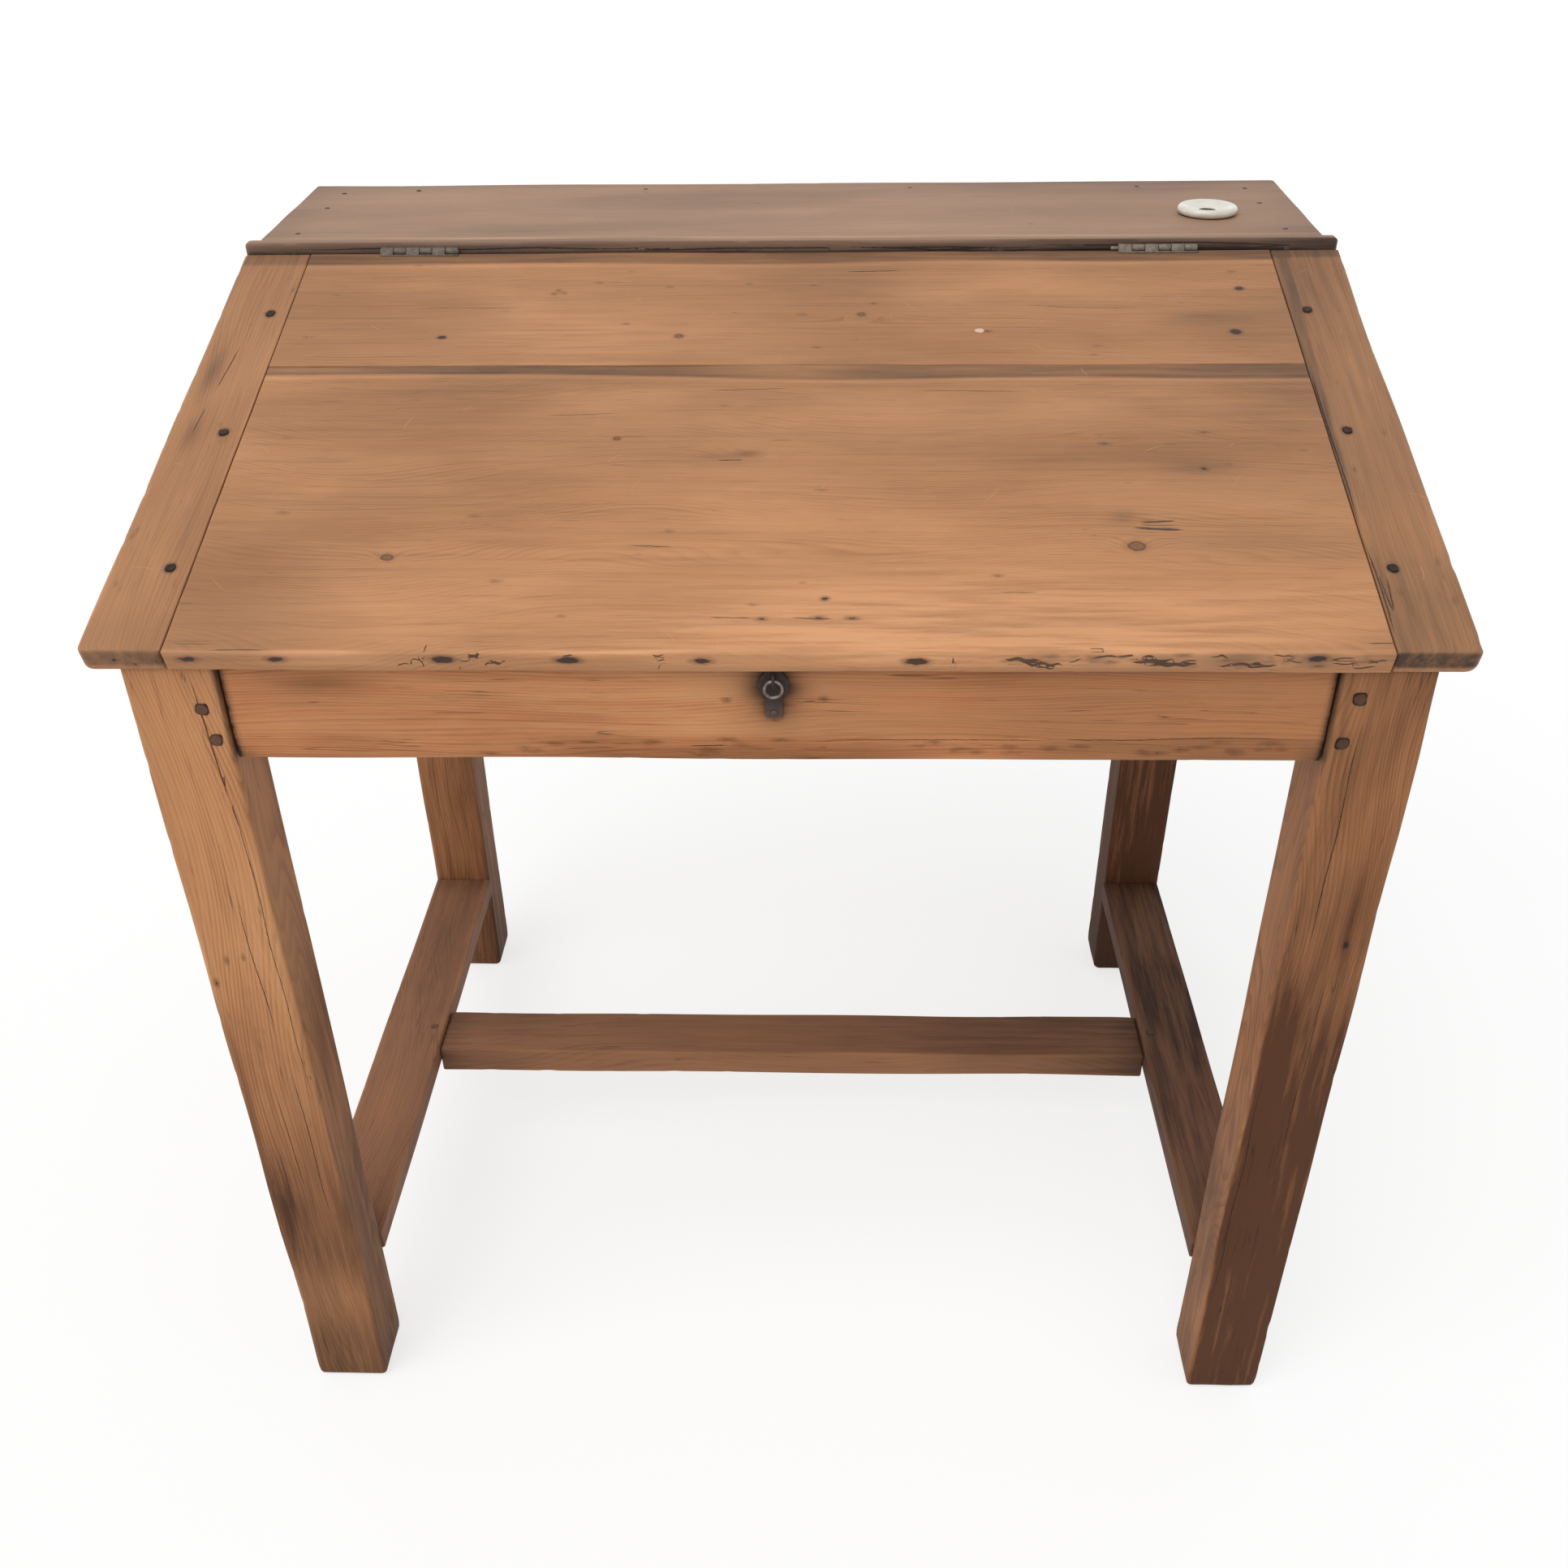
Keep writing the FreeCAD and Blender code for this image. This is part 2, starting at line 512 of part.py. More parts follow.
def make_floor():
    """Floor of the box: boards on four strips, nailed at both ends."""
    places = []
    for step in range(FLOOR_BOARDS):
        for share in FLOOR_NAIL_SHARES:
            y = f"apron_back + floor_step * {step + share}"
            for side, sign in SIDES:
                x = f"{sign} * (panel_inner_half - bearer_width / 2)"
                places.append((x, y, "floor_bottom + floor_thickness"))
    driven = keep("floor_nails", nails("board_nails", places, "floor_nail_length"))
    keep("front_bearer", box("front_strip", "-inner_half", "apron_back", "apron_bottom", "2 * inner_half",
                             "bearer_width", "bearer_width"))
    keep("back_bearer", box("back_strip", "-inner_half", "back_panel_front - bearer_width", "apron_bottom",
                            "2 * inner_half", "bearer_width", "bearer_width"))
    for side, sign in SIDES:
        x = "panel_inner_half - bearer_width" if sign > 0 else "-panel_inner_half"
        strip = box(f"{side}_strip", x, "span_front", "apron_bottom", "bearer_width",
                    "span_back - span_front", "bearer_width")
        keep(f"{side}_bearer", cut(f"{side}_strip_nailed", strip, [driven]))
    middle = box("middle_floor", "floor_gap - panel_inner_half", "apron_back + floor_step + floor_gap",
                 "floor_bottom", "2 * (panel_inner_half - floor_gap)", "floor_step - floor_gap",
                 "floor_thickness")
    keep("floor_board_middle", cut("middle_floor_nailed", middle, [driven]))
    rows = (
        ("front", "apron_back + floor_gap", "span_front + floor_gap", "apron_back + floor_step"),
        ("rear", "back_panel_front - floor_gap", "span_back - floor_gap",
         "back_panel_front - floor_step + floor_gap"),
    )
    for name, outer_edge, leg_edge, inner_edge in rows:
        keep(f"floor_board_{name}", cut(f"{name}_floor_nailed",
                                        notched_board(name, outer_edge, leg_edge, inner_edge), [driven]))


def notched_board(name, outer_edge, leg_edge, inner_edge):
    """A floor board cut round the two legs at its outer edge."""
    narrow = "inner_half - floor_gap"
    wide = "panel_inner_half - floor_gap"
    board = prism(f"{name}_floor", "XY_Plane", (
        (f"-({narrow})", outer_edge),
        (narrow, outer_edge),
        (narrow, leg_edge),
        (wide, leg_edge),
        (wide, inner_edge),
        (f"-({wide})", inner_edge),
        (f"-({wide})", leg_edge),
        (f"-({narrow})", leg_edge),
    ), "floor_thickness")
    return place(board, "0", "0", "floor_bottom + floor_thickness / 2")


def make_shelf_nails():
    """Nails through the shelf into the side panels, the rear legs and the back panel."""
    places = []
    for side, sign in SIDES:
        x = f"{sign} * (panel_inner_half + panel_thickness / 2)"
        for share in SIDE_NAIL_SHARES:
            places.append((x, f"rail_back + {share} * shelf_depth", "shelf_height"))
        places.append((x, "leg_back - leg_depth / 2", "shelf_height"))
    for share in BACK_NAIL_SHARES:
        places.append((f"{share} * inner_half", "back_panel_front + panel_thickness / 2", "shelf_height"))
    return keep("shelf_nails", nails("board_top_nails", places, "shelf_nail_length"))


def make_shelf(shelf_nails, rail_nails):
    """Shelf behind the strip, with the inkwell's hole."""
    board = prism("shelf_board", "XY_Plane", (
        ("-shelf_front_width / 2", "rail_back"),
        ("shelf_front_width / 2", "rail_back"),
        ("shelf_back_width / 2", "shelf_back"),
        ("-shelf_back_width / 2", "shelf_back"),
    ), "shelf_thickness")
    place(board, "0", "0", "shelf_bottom + shelf_thickness / 2")
    hole = rod("inkwell_hole", "inkwell_right", "inkwell_back", "shelf_bottom",
               "well_radius + well_clearance", "shelf_thickness")
    keep("shelf", cut("shelf_holed", board, [hole, shelf_nails, rail_nails]))


def make_rail_nails():
    """Nails through the strip's face into the shelf's front edge."""
    solids = []
    for number, share in enumerate(RAIL_NAIL_SHARES):
        x = f"{share} * shelf_front_width / 2"
        z = "shelf_bottom + shelf_thickness / 2"
        solids.append(rod(f"rail_nail_{number}", x, "rail_front", z, "nail_radius", "rail_nail_length",
                          ALONG_Y))
        solids.append(rod(f"rail_nail_head_{number}", x, "rail_front", z, "nail_head_radius",
                          "nail_head_depth", ALONG_Y))
    return keep("rail_nails", join("strip_nails", solids))


def make_screws(name, y, turn):
    """Countersunk screws of both hinges on one side of the joint."""
    solids = []
    way = 1 if turn == ALONG_Y else -1
    for side, sign in SIDES:
        for number, share in enumerate(SCREW_SHARES):
            x = f"{sign} * hinge_offset + {share} * hinge_length"
            z = "axis_height - screw_drop"
            head = doc.addObject("Part::Cone", f"{name}_{side}_head_{number}")
            bind(head, Radius1="screw_head_radius", Radius2="screw_radius", Height="leaf_thickness")
            place(head, x, y, z, turn)
            shank = rod(f"{name}_{side}_shank_{number}", x, f"{y} + {way} * leaf_thickness", z,
                        "screw_radius", "screw_length - leaf_thickness", turn)
            solids += [head, shank]
    return keep(name, join(name + "_group", solids))


def make_leaf(name, sign, first, y, screws):
    """One hinge leaf: every second knuckle rolled from the plate, with room for the other leaf's."""
    left = f"{sign} * hinge_offset - hinge_length / 2"
    plate = box(f"{name}_plate", left, y, "axis_height - leaf_drop", "hinge_length", "leaf_thickness",
                "leaf_drop")
    rolled = [plate]
    room = [rod(f"{name}_bore", left, "axis_back", "axis_height", "pin_radius + pin_clearance",
                "hinge_length", ALONG_X)]
    for number in range(KNUCKLES):
        x = f"{left} + {number} * knuckle_pitch"
        if number % 2 == first:
            rolled.append(rod(f"{name}_knuckle_{number}", f"{x} + knuckle_gap / 2", "axis_back",
                              "axis_height", "knuckle_radius", "knuckle_pitch - knuckle_gap", ALONG_X))
        else:
            room.append(rod(f"{name}_slot_{number}", x, "axis_back", "axis_height",
                            "knuckle_radius + barrel_clearance", "knuckle_pitch", ALONG_X))
    blank = cut(f"{name}_rolled", join(f"{name}_blank", rolled), room)
    return keep(name, cut(f"{name}_drilled", blank, [screws]))


def make_hinges():
    """Two butt hinges: the pins and rear leaves stay with the strip, the front leaves turn with the lid."""
    rail_screws = make_screws("rail_leaf_screws", "axis_back + hinge_gap / 2", ALONG_Y)
    lid_screws = make_screws("lid_leaf_screws", "axis_back - hinge_gap / 2", AGAINST_Y)
    rail_room = [rail_screws]
    lid_room = [lid_screws]
    for side, sign in SIDES:
        rail_room.append(make_leaf(f"{side}_hinge_rail_leaf", sign, 1,
                                   "axis_back + hinge_gap / 2", rail_screws))
        lid_room.append(make_leaf(f"{side}_hinge_lid_leaf", sign, 0,
                                  "axis_back - hinge_gap / 2 - leaf_thickness", lid_screws))
        left = f"{sign} * hinge_offset - hinge_length / 2"
        barrel = rod(f"{side}_barrel_room", f"{left} - knuckle_gap", "axis_back", "axis_height",
                     "knuckle_radius + barrel_clearance", "hinge_length + 2 * knuckle_gap", ALONG_X)
        rail_room.append(barrel)
        lid_room.append(barrel)
        stub = "pin_stub" if sign > 0 else "0"
        if sign > 0:
            rail_room.append(rod("pin_stub_room", f"{left} - 2 * pin_stub", "axis_back", "axis_height",
                                 "knuckle_radius", "2 * pin_stub", ALONG_X))
            lid_room.append(rail_room[-1])
        keep(f"{side}_hinge_pin", rod(f"{side}_pin", f"{left} - {stub}", "axis_back", "axis_height",
                                      "pin_radius", f"hinge_length + {stub}", ALONG_X))
    return rail_room, lid_room


def make_rail(rail_room, rail_nails):
    """Strip along the shelf's front edge, as long as the lid, with the hinges let in."""
    strip = box("strip", "-lid_width / 2", "rail_front", "rail_bottom", "lid_width", "rail_depth",
                "rail_height")
    keep("hinge_rail", cut("strip_cut", strip, [*rail_room, rail_nails]))


def make_lid(lid_room):
    """Two boards joined by tongue and groove, with end cleats pegged over their end tongues."""
    slant = "lid_length - lid_thickness * lid_slope"
    low = "tongue_top - tongue_thickness"
    lip = "lower_board_depth + joint_tongue_length"
    lower_board = prism("lower_slab", "YZ_Plane", (
        ("0", "0"), ("lower_board_depth", "0"), ("lower_board_depth", "tongue_top"), (lip, "tongue_top"),
        (lip, low), ("lower_board_depth", low), ("lower_board_depth", "-lid_thickness"),
        ("0", "-lid_thickness"),
    ), "2 * board_half")
    upper_board = prism("upper_slab", "YZ_Plane", (
        ("lower_board_depth", "0"), ("lid_length", "0"), (slant, "-lid_thickness"),
        ("lower_board_depth", "-lid_thickness"), ("lower_board_depth", low), (lip, low), (lip, "tongue_top"),
        ("lower_board_depth", "tongue_top"),
    ), "2 * board_half")
    across = "2 * (board_half + end_tongue_length)"
    edge = "-board_half - end_tongue_length"
    lower_tongue = box("lower_end_tongues", edge, "end_tongue_setback", low, across,
                       "lower_board_depth - end_tongue_setback", "tongue_thickness")
    upper_tongue = box("upper_end_tongues", edge, lip, low, across,
                       f"{slant} - end_tongue_setback - ({lip})", "tongue_thickness")
    lower = on_lid(join("lower_blank", [lower_board, lower_tongue]))
    upper = on_lid(join("upper_blank", [upper_board, upper_tongue]))
    squares = []
    for side, sign in SIDES:
        x = f"{sign} * (board_half + lid_peg_inset) - lid_peg_width / 2"
        for number, share in enumerate(LID_PEG_SHARES):
            squares.append(box(f"{side}_lid_peg_{number}", x, f"{share} * lid_length - lid_peg_width / 2",
                               "-lid_thickness", "lid_peg_width", "lid_peg_width", "lid_thickness"))
    pegs = keep("lid_pegs", on_lid(group("cleat_pegs", squares)))
    keep("lid_lower_board", cut("lower_pegged", lower, [pegs]))
    keep("lid_upper_board", cut("upper_pegged", upper, [pegs, *lid_room]))
    for side, sign in SIDES:
        cleat = prism(f"{side}_cleat_bar", "YZ_Plane", (
            ("0", "0"), ("lid_length", "0"), (slant, "-lid_thickness"), ("0", "-lid_thickness"),
        ), "cleat_width")
        on_lid(cleat, f"{sign} * (lid_width - cleat_width) / 2")
        keep(f"{side}_cleat", cut(f"{side}_cleat_grooved", cleat, [lower, upper, pegs]))


def make_inkwell():
    """Ceramic cup that hangs in the shelf by its flange, with a dished top and a round mouth."""
    body = doc.addObject("PartDesign::Body", "cup")
    sketch = outline_sketch(body, "XZ_Plane", (
        ("0", "-well_depth"),
        ("base_radius", "-well_depth"),
        ("well_radius", "0"),
        ("flange_radius", "0"),
        ("flange_radius", "flange_thickness"),
        ("flange_radius - rim_width", "flange_thickness"),
        ("mouth_radius", "flange_thickness - dish_depth"),
        ("mouth_radius", "flange_thickness - dish_depth - well_wall"),
        ("well_radius - well_wall", "-well_wall"),
        ("base_radius - well_wall", "well_wall - well_depth"),
        ("0", "well_wall - well_depth"),
    ))
    turned = body.newObject("PartDesign::Revolution", "cup_turned")
    turned.Profile = sketch
    turned.ReferenceAxis = (sketch, ["V_Axis"])
    turned.Angle = 360
    doc.recompute()
    reach = max(vertex.X for vertex in turned.Shape.Vertexes)
    rims = [
        f"Edge{number}"
        for number, edge in enumerate(turned.Shape.Edges, start=1)
        if isinstance(edge.Curve, Part.Circle) and abs(edge.Curve.Radius - reach) < reach / 1000
    ]
    round_edge = body.newObject("PartDesign::Fillet", "cup_round")
    round_edge.Base = (turned, rims)
    limit = f"min(flange_thickness; flange_width) * {ROUND_LIMIT_SHARE}"
    bind(round_edge, Radius=f"min(flange_round; {limit})")
    place(body, "inkwell_right", "inkwell_back", "shelf_height")
    keep("inkwell", body)


def build():
    """Makes every sub-part."""
    pegs = make_pegs()
    apron = make_apron(pegs, make_pull())
    shelf_nails = make_shelf_nails()
    rail_nails = make_rail_nails()
    back = make_back_panel(pegs, shelf_nails)
    stretchers = make_stretchers(pegs)
    for side, sign in SIDES:
        panel = make_side_panel(side, sign, pegs, shelf_nails)
        make_legs(side, sign, pegs, shelf_nails, apron, panel, back, stretchers[side])
    make_floor()
    make_shelf(shelf_nails, rail_nails)
    rail_room, lid_room = make_hinges()
    make_rail(rail_room, rail_nails)
    make_lid(lid_room)
    make_inkwell()
    doc.recompute()


def check():
    """Stops the script if any object failed or any sub-part has no sound solid."""
    for thing in doc.Objects:
        if "Invalid" in thing.State or "Error" in thing.State:
            raise RuntimeError(f"{thing.Name} failed: {thing.State}")
    for thing in finished:
        if thing.Shape.isNull() or not thing.Shape.isValid() or not thing.Shape.Solids:
            raise RuntimeError(f"{thing.Label} has no sound solid")


def write():
    """Writes each sub-part to a file of its own."""
    os.makedirs("parts", exist_ok=True)
    for thing in finished:
        thing.Shape.exportStep(f"parts/{thing.Label}.step")


fill_sheet()
build()
check()
write()
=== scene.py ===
"""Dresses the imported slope-top desk: worn pine boards, pegs, nails, old steel and a glazed inkwell."""

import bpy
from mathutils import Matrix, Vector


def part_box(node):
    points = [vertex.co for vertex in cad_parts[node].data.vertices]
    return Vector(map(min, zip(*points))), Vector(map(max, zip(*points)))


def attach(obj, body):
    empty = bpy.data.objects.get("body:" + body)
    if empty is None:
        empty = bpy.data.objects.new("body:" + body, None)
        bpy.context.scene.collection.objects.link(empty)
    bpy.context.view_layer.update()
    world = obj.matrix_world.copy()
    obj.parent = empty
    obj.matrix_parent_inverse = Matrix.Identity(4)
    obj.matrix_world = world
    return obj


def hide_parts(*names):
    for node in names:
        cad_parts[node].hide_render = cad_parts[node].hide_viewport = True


bl_info = {
    "name": "Slope-top desk",
    "version": (1, 0, 0),
    "blender": (4, 5, 0),
    "location": "View3D > Sidebar > Desk",
    "description": "Dresses the packed desk in worn pine, old steel and glazed ware",
    "category": "Object",
}

import math

import bpy
import numpy as np
from bpy.props import FloatProperty, FloatVectorProperty, PointerProperty
from bpy.types import Operator, Panel, PropertyGroup
from mathutils import Matrix

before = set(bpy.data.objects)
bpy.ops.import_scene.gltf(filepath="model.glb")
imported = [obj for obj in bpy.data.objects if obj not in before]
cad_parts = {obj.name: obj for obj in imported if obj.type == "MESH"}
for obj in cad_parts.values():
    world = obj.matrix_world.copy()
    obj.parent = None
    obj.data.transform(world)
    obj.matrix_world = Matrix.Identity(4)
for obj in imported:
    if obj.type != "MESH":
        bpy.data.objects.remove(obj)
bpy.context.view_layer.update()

MM = 0.001

# Directions in the desk's frame, seen by the sitter, and one that lies along none of them.
RIGHT = np.array((1.0, 0.0, 0.0))
BACK = np.array((0.0, 1.0, 0.0))
UP = np.array((0.0, 0.0, 1.0))
LEFT, FRONT, DOWN = -RIGHT, -BACK, -UP
SKEW = (0.31, 0.77, 0.55)

# Sides of the desk and rows of its legs.
SIDES = ("left", "right")
ROWS = ("front", "rear")

# Steps of the rounded edges and ends of a board, the shrunken sections that close an end, and the turn of a
# rounded corner of the broad face, without its first part, which hardly bends.
CORNER_STEPS = 4
END_STEPS = 4
END_SHARES = (0.35, 0.7, 0.92)
CORNER_TURN = np.linspace(0.0, np.pi / 2.0, 9)[3:]

# Sides of a hoop and of its wire.
HOOP_SIDES, WIRE_SIDES = 120, 20

# A distance that no mark reaches, the gap under which points are one, and how deep a line shows on a face.
FAR = 9.0
WELD = 0.02 * MM
FACE_DEPTH = 4.0 * MM

# Waves in a ripple. Each kind of random draw on a board starts from its seed and a number of its own.
WAVES = 10
DENT, GRAIN, WEAR, CRACK, SCRATCH, SPECK = 40, 50, 60, 70, 90, 95

# Seed of each node's random draws, or of the first piece where a node is a group of them.
SEEDS = {
    "front_left_leg": 100, "front_right_leg": 101, "rear_left_leg": 102, "rear_right_leg": 103,
    "front_apron": 120, "left_side_panel": 130, "right_side_panel": 131, "back_panel": 133,
    "left_side_stretcher": 140, "right_side_stretcher": 141, "cross_stretcher": 143,
    "floor_board_front": 150, "floor_board_middle": 151, "floor_board_rear": 152,
    "front_bearer": 155, "back_bearer": 156, "left_bearer": 157, "right_bearer": 158,
    "shelf": 160, "hinge_rail": 163, "lid_lower_board": 170, "lid_upper_board": 171,
    "left_cleat": 174, "right_cleat": 175, "front_leg_pegs": 200, "side_panel_pegs": 220,
    "back_panel_pegs": 240, "stretcher_pegs": 260, "lid_pegs": 280, "shelf_nails": 300,
    "floor_nails": 320, "rail_nails": 340, "pull_nail": 360, "inkwell": 400, "pull_ring": 410,
}

# Shift of the fibre's noise from one seed to the next, so that no two boards look alike.
FIBRE_SHIFT = np.array((0.37, 0.61, 0.0))

# Gap left at the lid's rear edge and at the edges that face it.
EDGE_GAP = 0.4 * MM

# Colours of dirt and filler as a screen shows them, the first and the last also laying painted shade, and the
# height of the pull's rubbed foot.
SOOT_AND_SHADE = (0.14, 0.095, 0.075)
PUTTY = (0.86, 0.73, 0.64)
SOIL_AND_SHADE = (0.12, 0.095, 0.085)
WORN_FOOT = 16.0 * MM


# Small curves


def ease(value, start, end):
    """A smooth step from 0 at the start to 1 at the end, which may be the lower of the two."""
    share = np.clip((value - start) / (end - start), 0.0, 1.0)
    return share * share * (3.0 - 2.0 * share)


def bell(value, middle, spread):
    """A bell curve of height 1 round the middle."""
    return np.exp(-(((value - middle) / spread) ** 2))


def blot(field, plan, rows):
    """Soft oval patches: rows of an amount, then a middle and a spread across and up the plan, in mm."""
    for amount, across, wide, up, tall in rows:
        field += amount * bell(plan[0], across, wide) * bell(plan[1], up, tall)


def ripple(points, seed, wave):
    """Smooth noise of about unit height: sine waves of about one wavelength in random directions."""
    rng = np.random.default_rng(seed)
    heading = rng.normal(size=(WAVES, points.shape[1]))
    heading /= np.linalg.norm(heading, axis=1)[:, None]
    rate = 2.0 * np.pi / wave * rng.uniform(0.55, 1.6, WAVES)
    phase = rng.uniform(0.0, 2.0 * np.pi, WAVES)
    return np.sin(points @ (heading * rate[:, None]).T + phase).sum(axis=1) * math.sqrt(2.0 / WAVES)


def unit(vector):
    """A vector drawn to a length of one."""
    return vector / np.linalg.norm(vector)


def circle(count):
    """Points evenly shared out on a circle of unit radius."""
    turn = np.linspace(0.0, 2.0 * np.pi, count, endpoint=False)
    return np.stack([np.cos(turn), np.sin(turn)], axis=-1)


def level(colour):
    """A written colour, as a screen shows it, in the linear values that a shader takes."""
    part = np.array(colour[:3], float)
    linear = np.where(part <= 0.04045, part / 12.92, ((part + 0.055) / 1.055) ** 2.4)
    return (*linear.tolist(), 1.0)


# Reading the frame


def node_points(node):
    """A CAD node's points as rows of an array."""
    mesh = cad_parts[node].data
    points = np.empty(len(mesh.vertices) * 3)
    mesh.vertices.foreach_get("co", points)
    return points.reshape(-1, 3)


def spans(node, axes):
    """A CAD node's lowest and highest reach along each of three axes."""
    reach = node_points(node) @ np.array(axes).T
    return reach.min(axis=0), reach.max(axis=0)


def solids(node):
    """The points of each separate solid of a CAD node: points joined by triangles share a label."""
    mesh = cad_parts[node].data
    points = node_points(node)
    keys = np.unique(np.round(points / WELD).astype(np.int64), axis=0, return_inverse=True)[1].ravel()
    corners = np.empty(len(mesh.loops), np.int64)
    mesh.loops.foreach_get("vertex_index", corners)
    corners = keys[corners.reshape(-1, 3)]
    label = np.arange(keys.max() + 1)
    while True:
        low = label[corners].min(axis=1)
        before = label.copy()
        for column in range(3):
            np.minimum.at(label, corners[:, column], low)
        if np.array_equal(before, label):
            break
    return [points[label[keys] == name] for name in np.unique(label)]


CLEAT = node_points("left_cleat")
LID_FRONT = CLEAT[CLEAT[:, 1].argmin()] * (0.0, 1.0, 1.0)
LID_REAR = CLEAT[CLEAT[:, 2].argmax()] * (0.0, 1.0, 1.0)
LID_LENGTH = float(np.linalg.norm(LID_REAR - LID_FRONT))
ALONG_LID = (LID_REAR - LID_FRONT) / LID_LENGTH
OFF_LID = np.cross(RIGHT, ALONG_LID)
SLOPE = float(ALONG_LID[2] / ALONG_LID[1])
LID_END = float(LID_REAR @ ALONG_LID) - EDGE_GAP


def on_lid(x, along, lift=0.0):
    """A point of the lid's upper face, from its place across and its distance up the slope, in mm."""
    return LID_FRONT + MM * (x * RIGHT + along * ALONG_LID + lift * OFF_LID)


def lid_rows(rows):
    """Rows whose first two numbers, a place on the lid in mm, become its point."""
    return [(on_lid(*row[:2]), *row[2:]) for row in rows]


def on_front(board):
    """What gives a point of a board's front face, from its place across and its height in mm."""
    face = board.world[:, 1].min() / MM
    return lambda x, z: MM * np.array((x, face, z))


# Worn boards


class Board:
    """A board in its own axes, and the marks that its years have left on it.

    The surface is a rounded rectangle carried along the board. The corners are quarter circles whose
    radius wanders. Towards each end the section draws in along a quarter circle, and shrunken copies
    of it and a pole close the end. Rows of local hold the place along, across and in depth from the
    board's middle.

    The steps divide the board along, across its front and its back, and in depth. The four edges may
    be rounder or sharper than the arris by the factors in corners. Each row of rounded is an end, a
    side and a radius, for a corner of the broad face.
    """

    def __init__(
        self, axes, low, high, seed, steps, arris, ends=None, wander=0.3, extra=(), corners=(1, 1, 1, 1),
        rounded=(),
    ):
        self.axes = np.array(axes)
        self.low, self.high = np.array(low, float), np.array(high, float)
        self.size = self.high - self.low
        self.middle = (self.low + self.high) / 2.0
        self.seed = seed
        start, finish = ends or (arris, arris)
        for end, _, radius in rounded:
            close = end * (self.size[0] / 2.0 - radius * (1.0 - np.cos(CORNER_TURN)))
            extra = np.concatenate((extra, close))
        along, draw, shrink = self.stations(steps[0], start, finish, extra)
        across, depth = self.sections(along, draw, shrink, steps, arris * np.array(corners), wander)
        rows = np.stack([np.broadcast_to(along[:, None], across.shape), across, depth], axis=-1)
        poles = [[along[0], 0.0, 0.0], [along[-1], 0.0, 0.0]]
        self.local = np.concatenate((rows.reshape(-1, 3), poles))
        self.quads, self.tris = self.faces(*across.shape)
        self.world = (self.local + self.middle) @ self.axes
        count = len(self.local)
        self.knot, self.hole, self.filler = np.full((3, count), FAR)
        self.crack, self.scratch = [np.stack([np.full(count, FAR), np.zeros(count)]) for _ in range(2)]
        self.dark, self.pale, self.grime_and_shade = np.zeros((3, count))
        self.ring = np.zeros(count)
        for corner in rounded:
            self.round_corner(*corner)

    def stations(self, step, start, finish, extra):
        """Places along the board, with how far the section draws in and shrinks at each."""
        half = self.size[0] / 2.0
        turn = np.linspace(0.0, np.pi / 2.0, END_STEPS + 1)
        count = max(2, int(round((2.0 * half - start - finish) / step)))
        middle = np.linspace(start - half, half - finish, count + 1)[1:-1]
        extra = [place for place in extra if start - half < place < half - finish]
        middle = np.unique(np.concatenate((middle, extra)))
        first = start * (1.0 - np.cos(turn)) - half
        last = half - finish * (1.0 - np.cos(turn[::-1]))
        caps = np.ones(len(END_SHARES))
        along = np.concatenate((-half * caps, first, middle, last, half * caps))
        draw = np.concatenate((
            start * caps, start * (1.0 - np.sin(turn)), np.zeros(len(middle)),
            finish * (1.0 - np.sin(turn[::-1])), finish * caps,
        ))
        shrink = np.concatenate((END_SHARES, np.ones(len(along) - 2 * len(caps)), END_SHARES[::-1]))
        return along, draw, shrink

    def sections(self, along, draw, shrink, steps, arris, wander):
        """The rounded rectangle at every station, point by point round it from the corner at +across."""
        half_across, half_depth = self.size[1] / 2.0, self.size[2] / 2.0
        lengths = (self.size[1], self.size[2]) * 2
        divisions = (steps[1], steps[3], steps[2], steps[3])
        counts = [max(1, int(round(length / step))) for length, step in zip(lengths, divisions)]
        corner, angle, share = [], [], []
        for quarter, count in enumerate(counts):
            arc = (quarter + np.linspace(0.0, 1.0, CORNER_STEPS + 1)) * np.pi / 2.0
            side = np.linspace(0.0, 1.0, count + 1)[1:-1]
            corner.append(np.full(len(arc) + len(side), quarter))
            angle.append(np.concatenate((arc, np.full(len(side), arc[-1]))))
            share.append(np.concatenate((np.zeros(len(arc)), side)))
        corner, angle, share = map(np.concatenate, (corner, angle, share))
        following = (corner + 1) % 4
        place = along[:, None]
        radius = np.stack([
            size * (1.0 + wander * ripple(place, self.seed + 11 * quarter, 0.3)
                    + wander * np.clip(ripple(place, self.seed + 7 * quarter + 3, 0.05) - 1.0, 0.0, None))
            for quarter, size in enumerate(arris)
        ], axis=1)
        radius = np.clip(radius, 0.3 * arris, 0.9 * min(half_across, half_depth))
        sides = np.array((1.0, -1.0, -1.0, 1.0)), np.array((1.0, 1.0, -1.0, -1.0))

        def edge(number, half, signs, curve):
            return signs[number] * (half - radius[:, number]) + radius[:, number] * curve

        flat = []
        for half, signs, curve in zip((half_across, half_depth), sides, (np.cos(angle), np.sin(angle))):
            here, there = edge(corner, half, signs, curve), edge(following, half, signs, curve)
            flat.append((here + share * (there - here)) * ((1.0 - draw / half) * shrink)[:, None])
        return flat

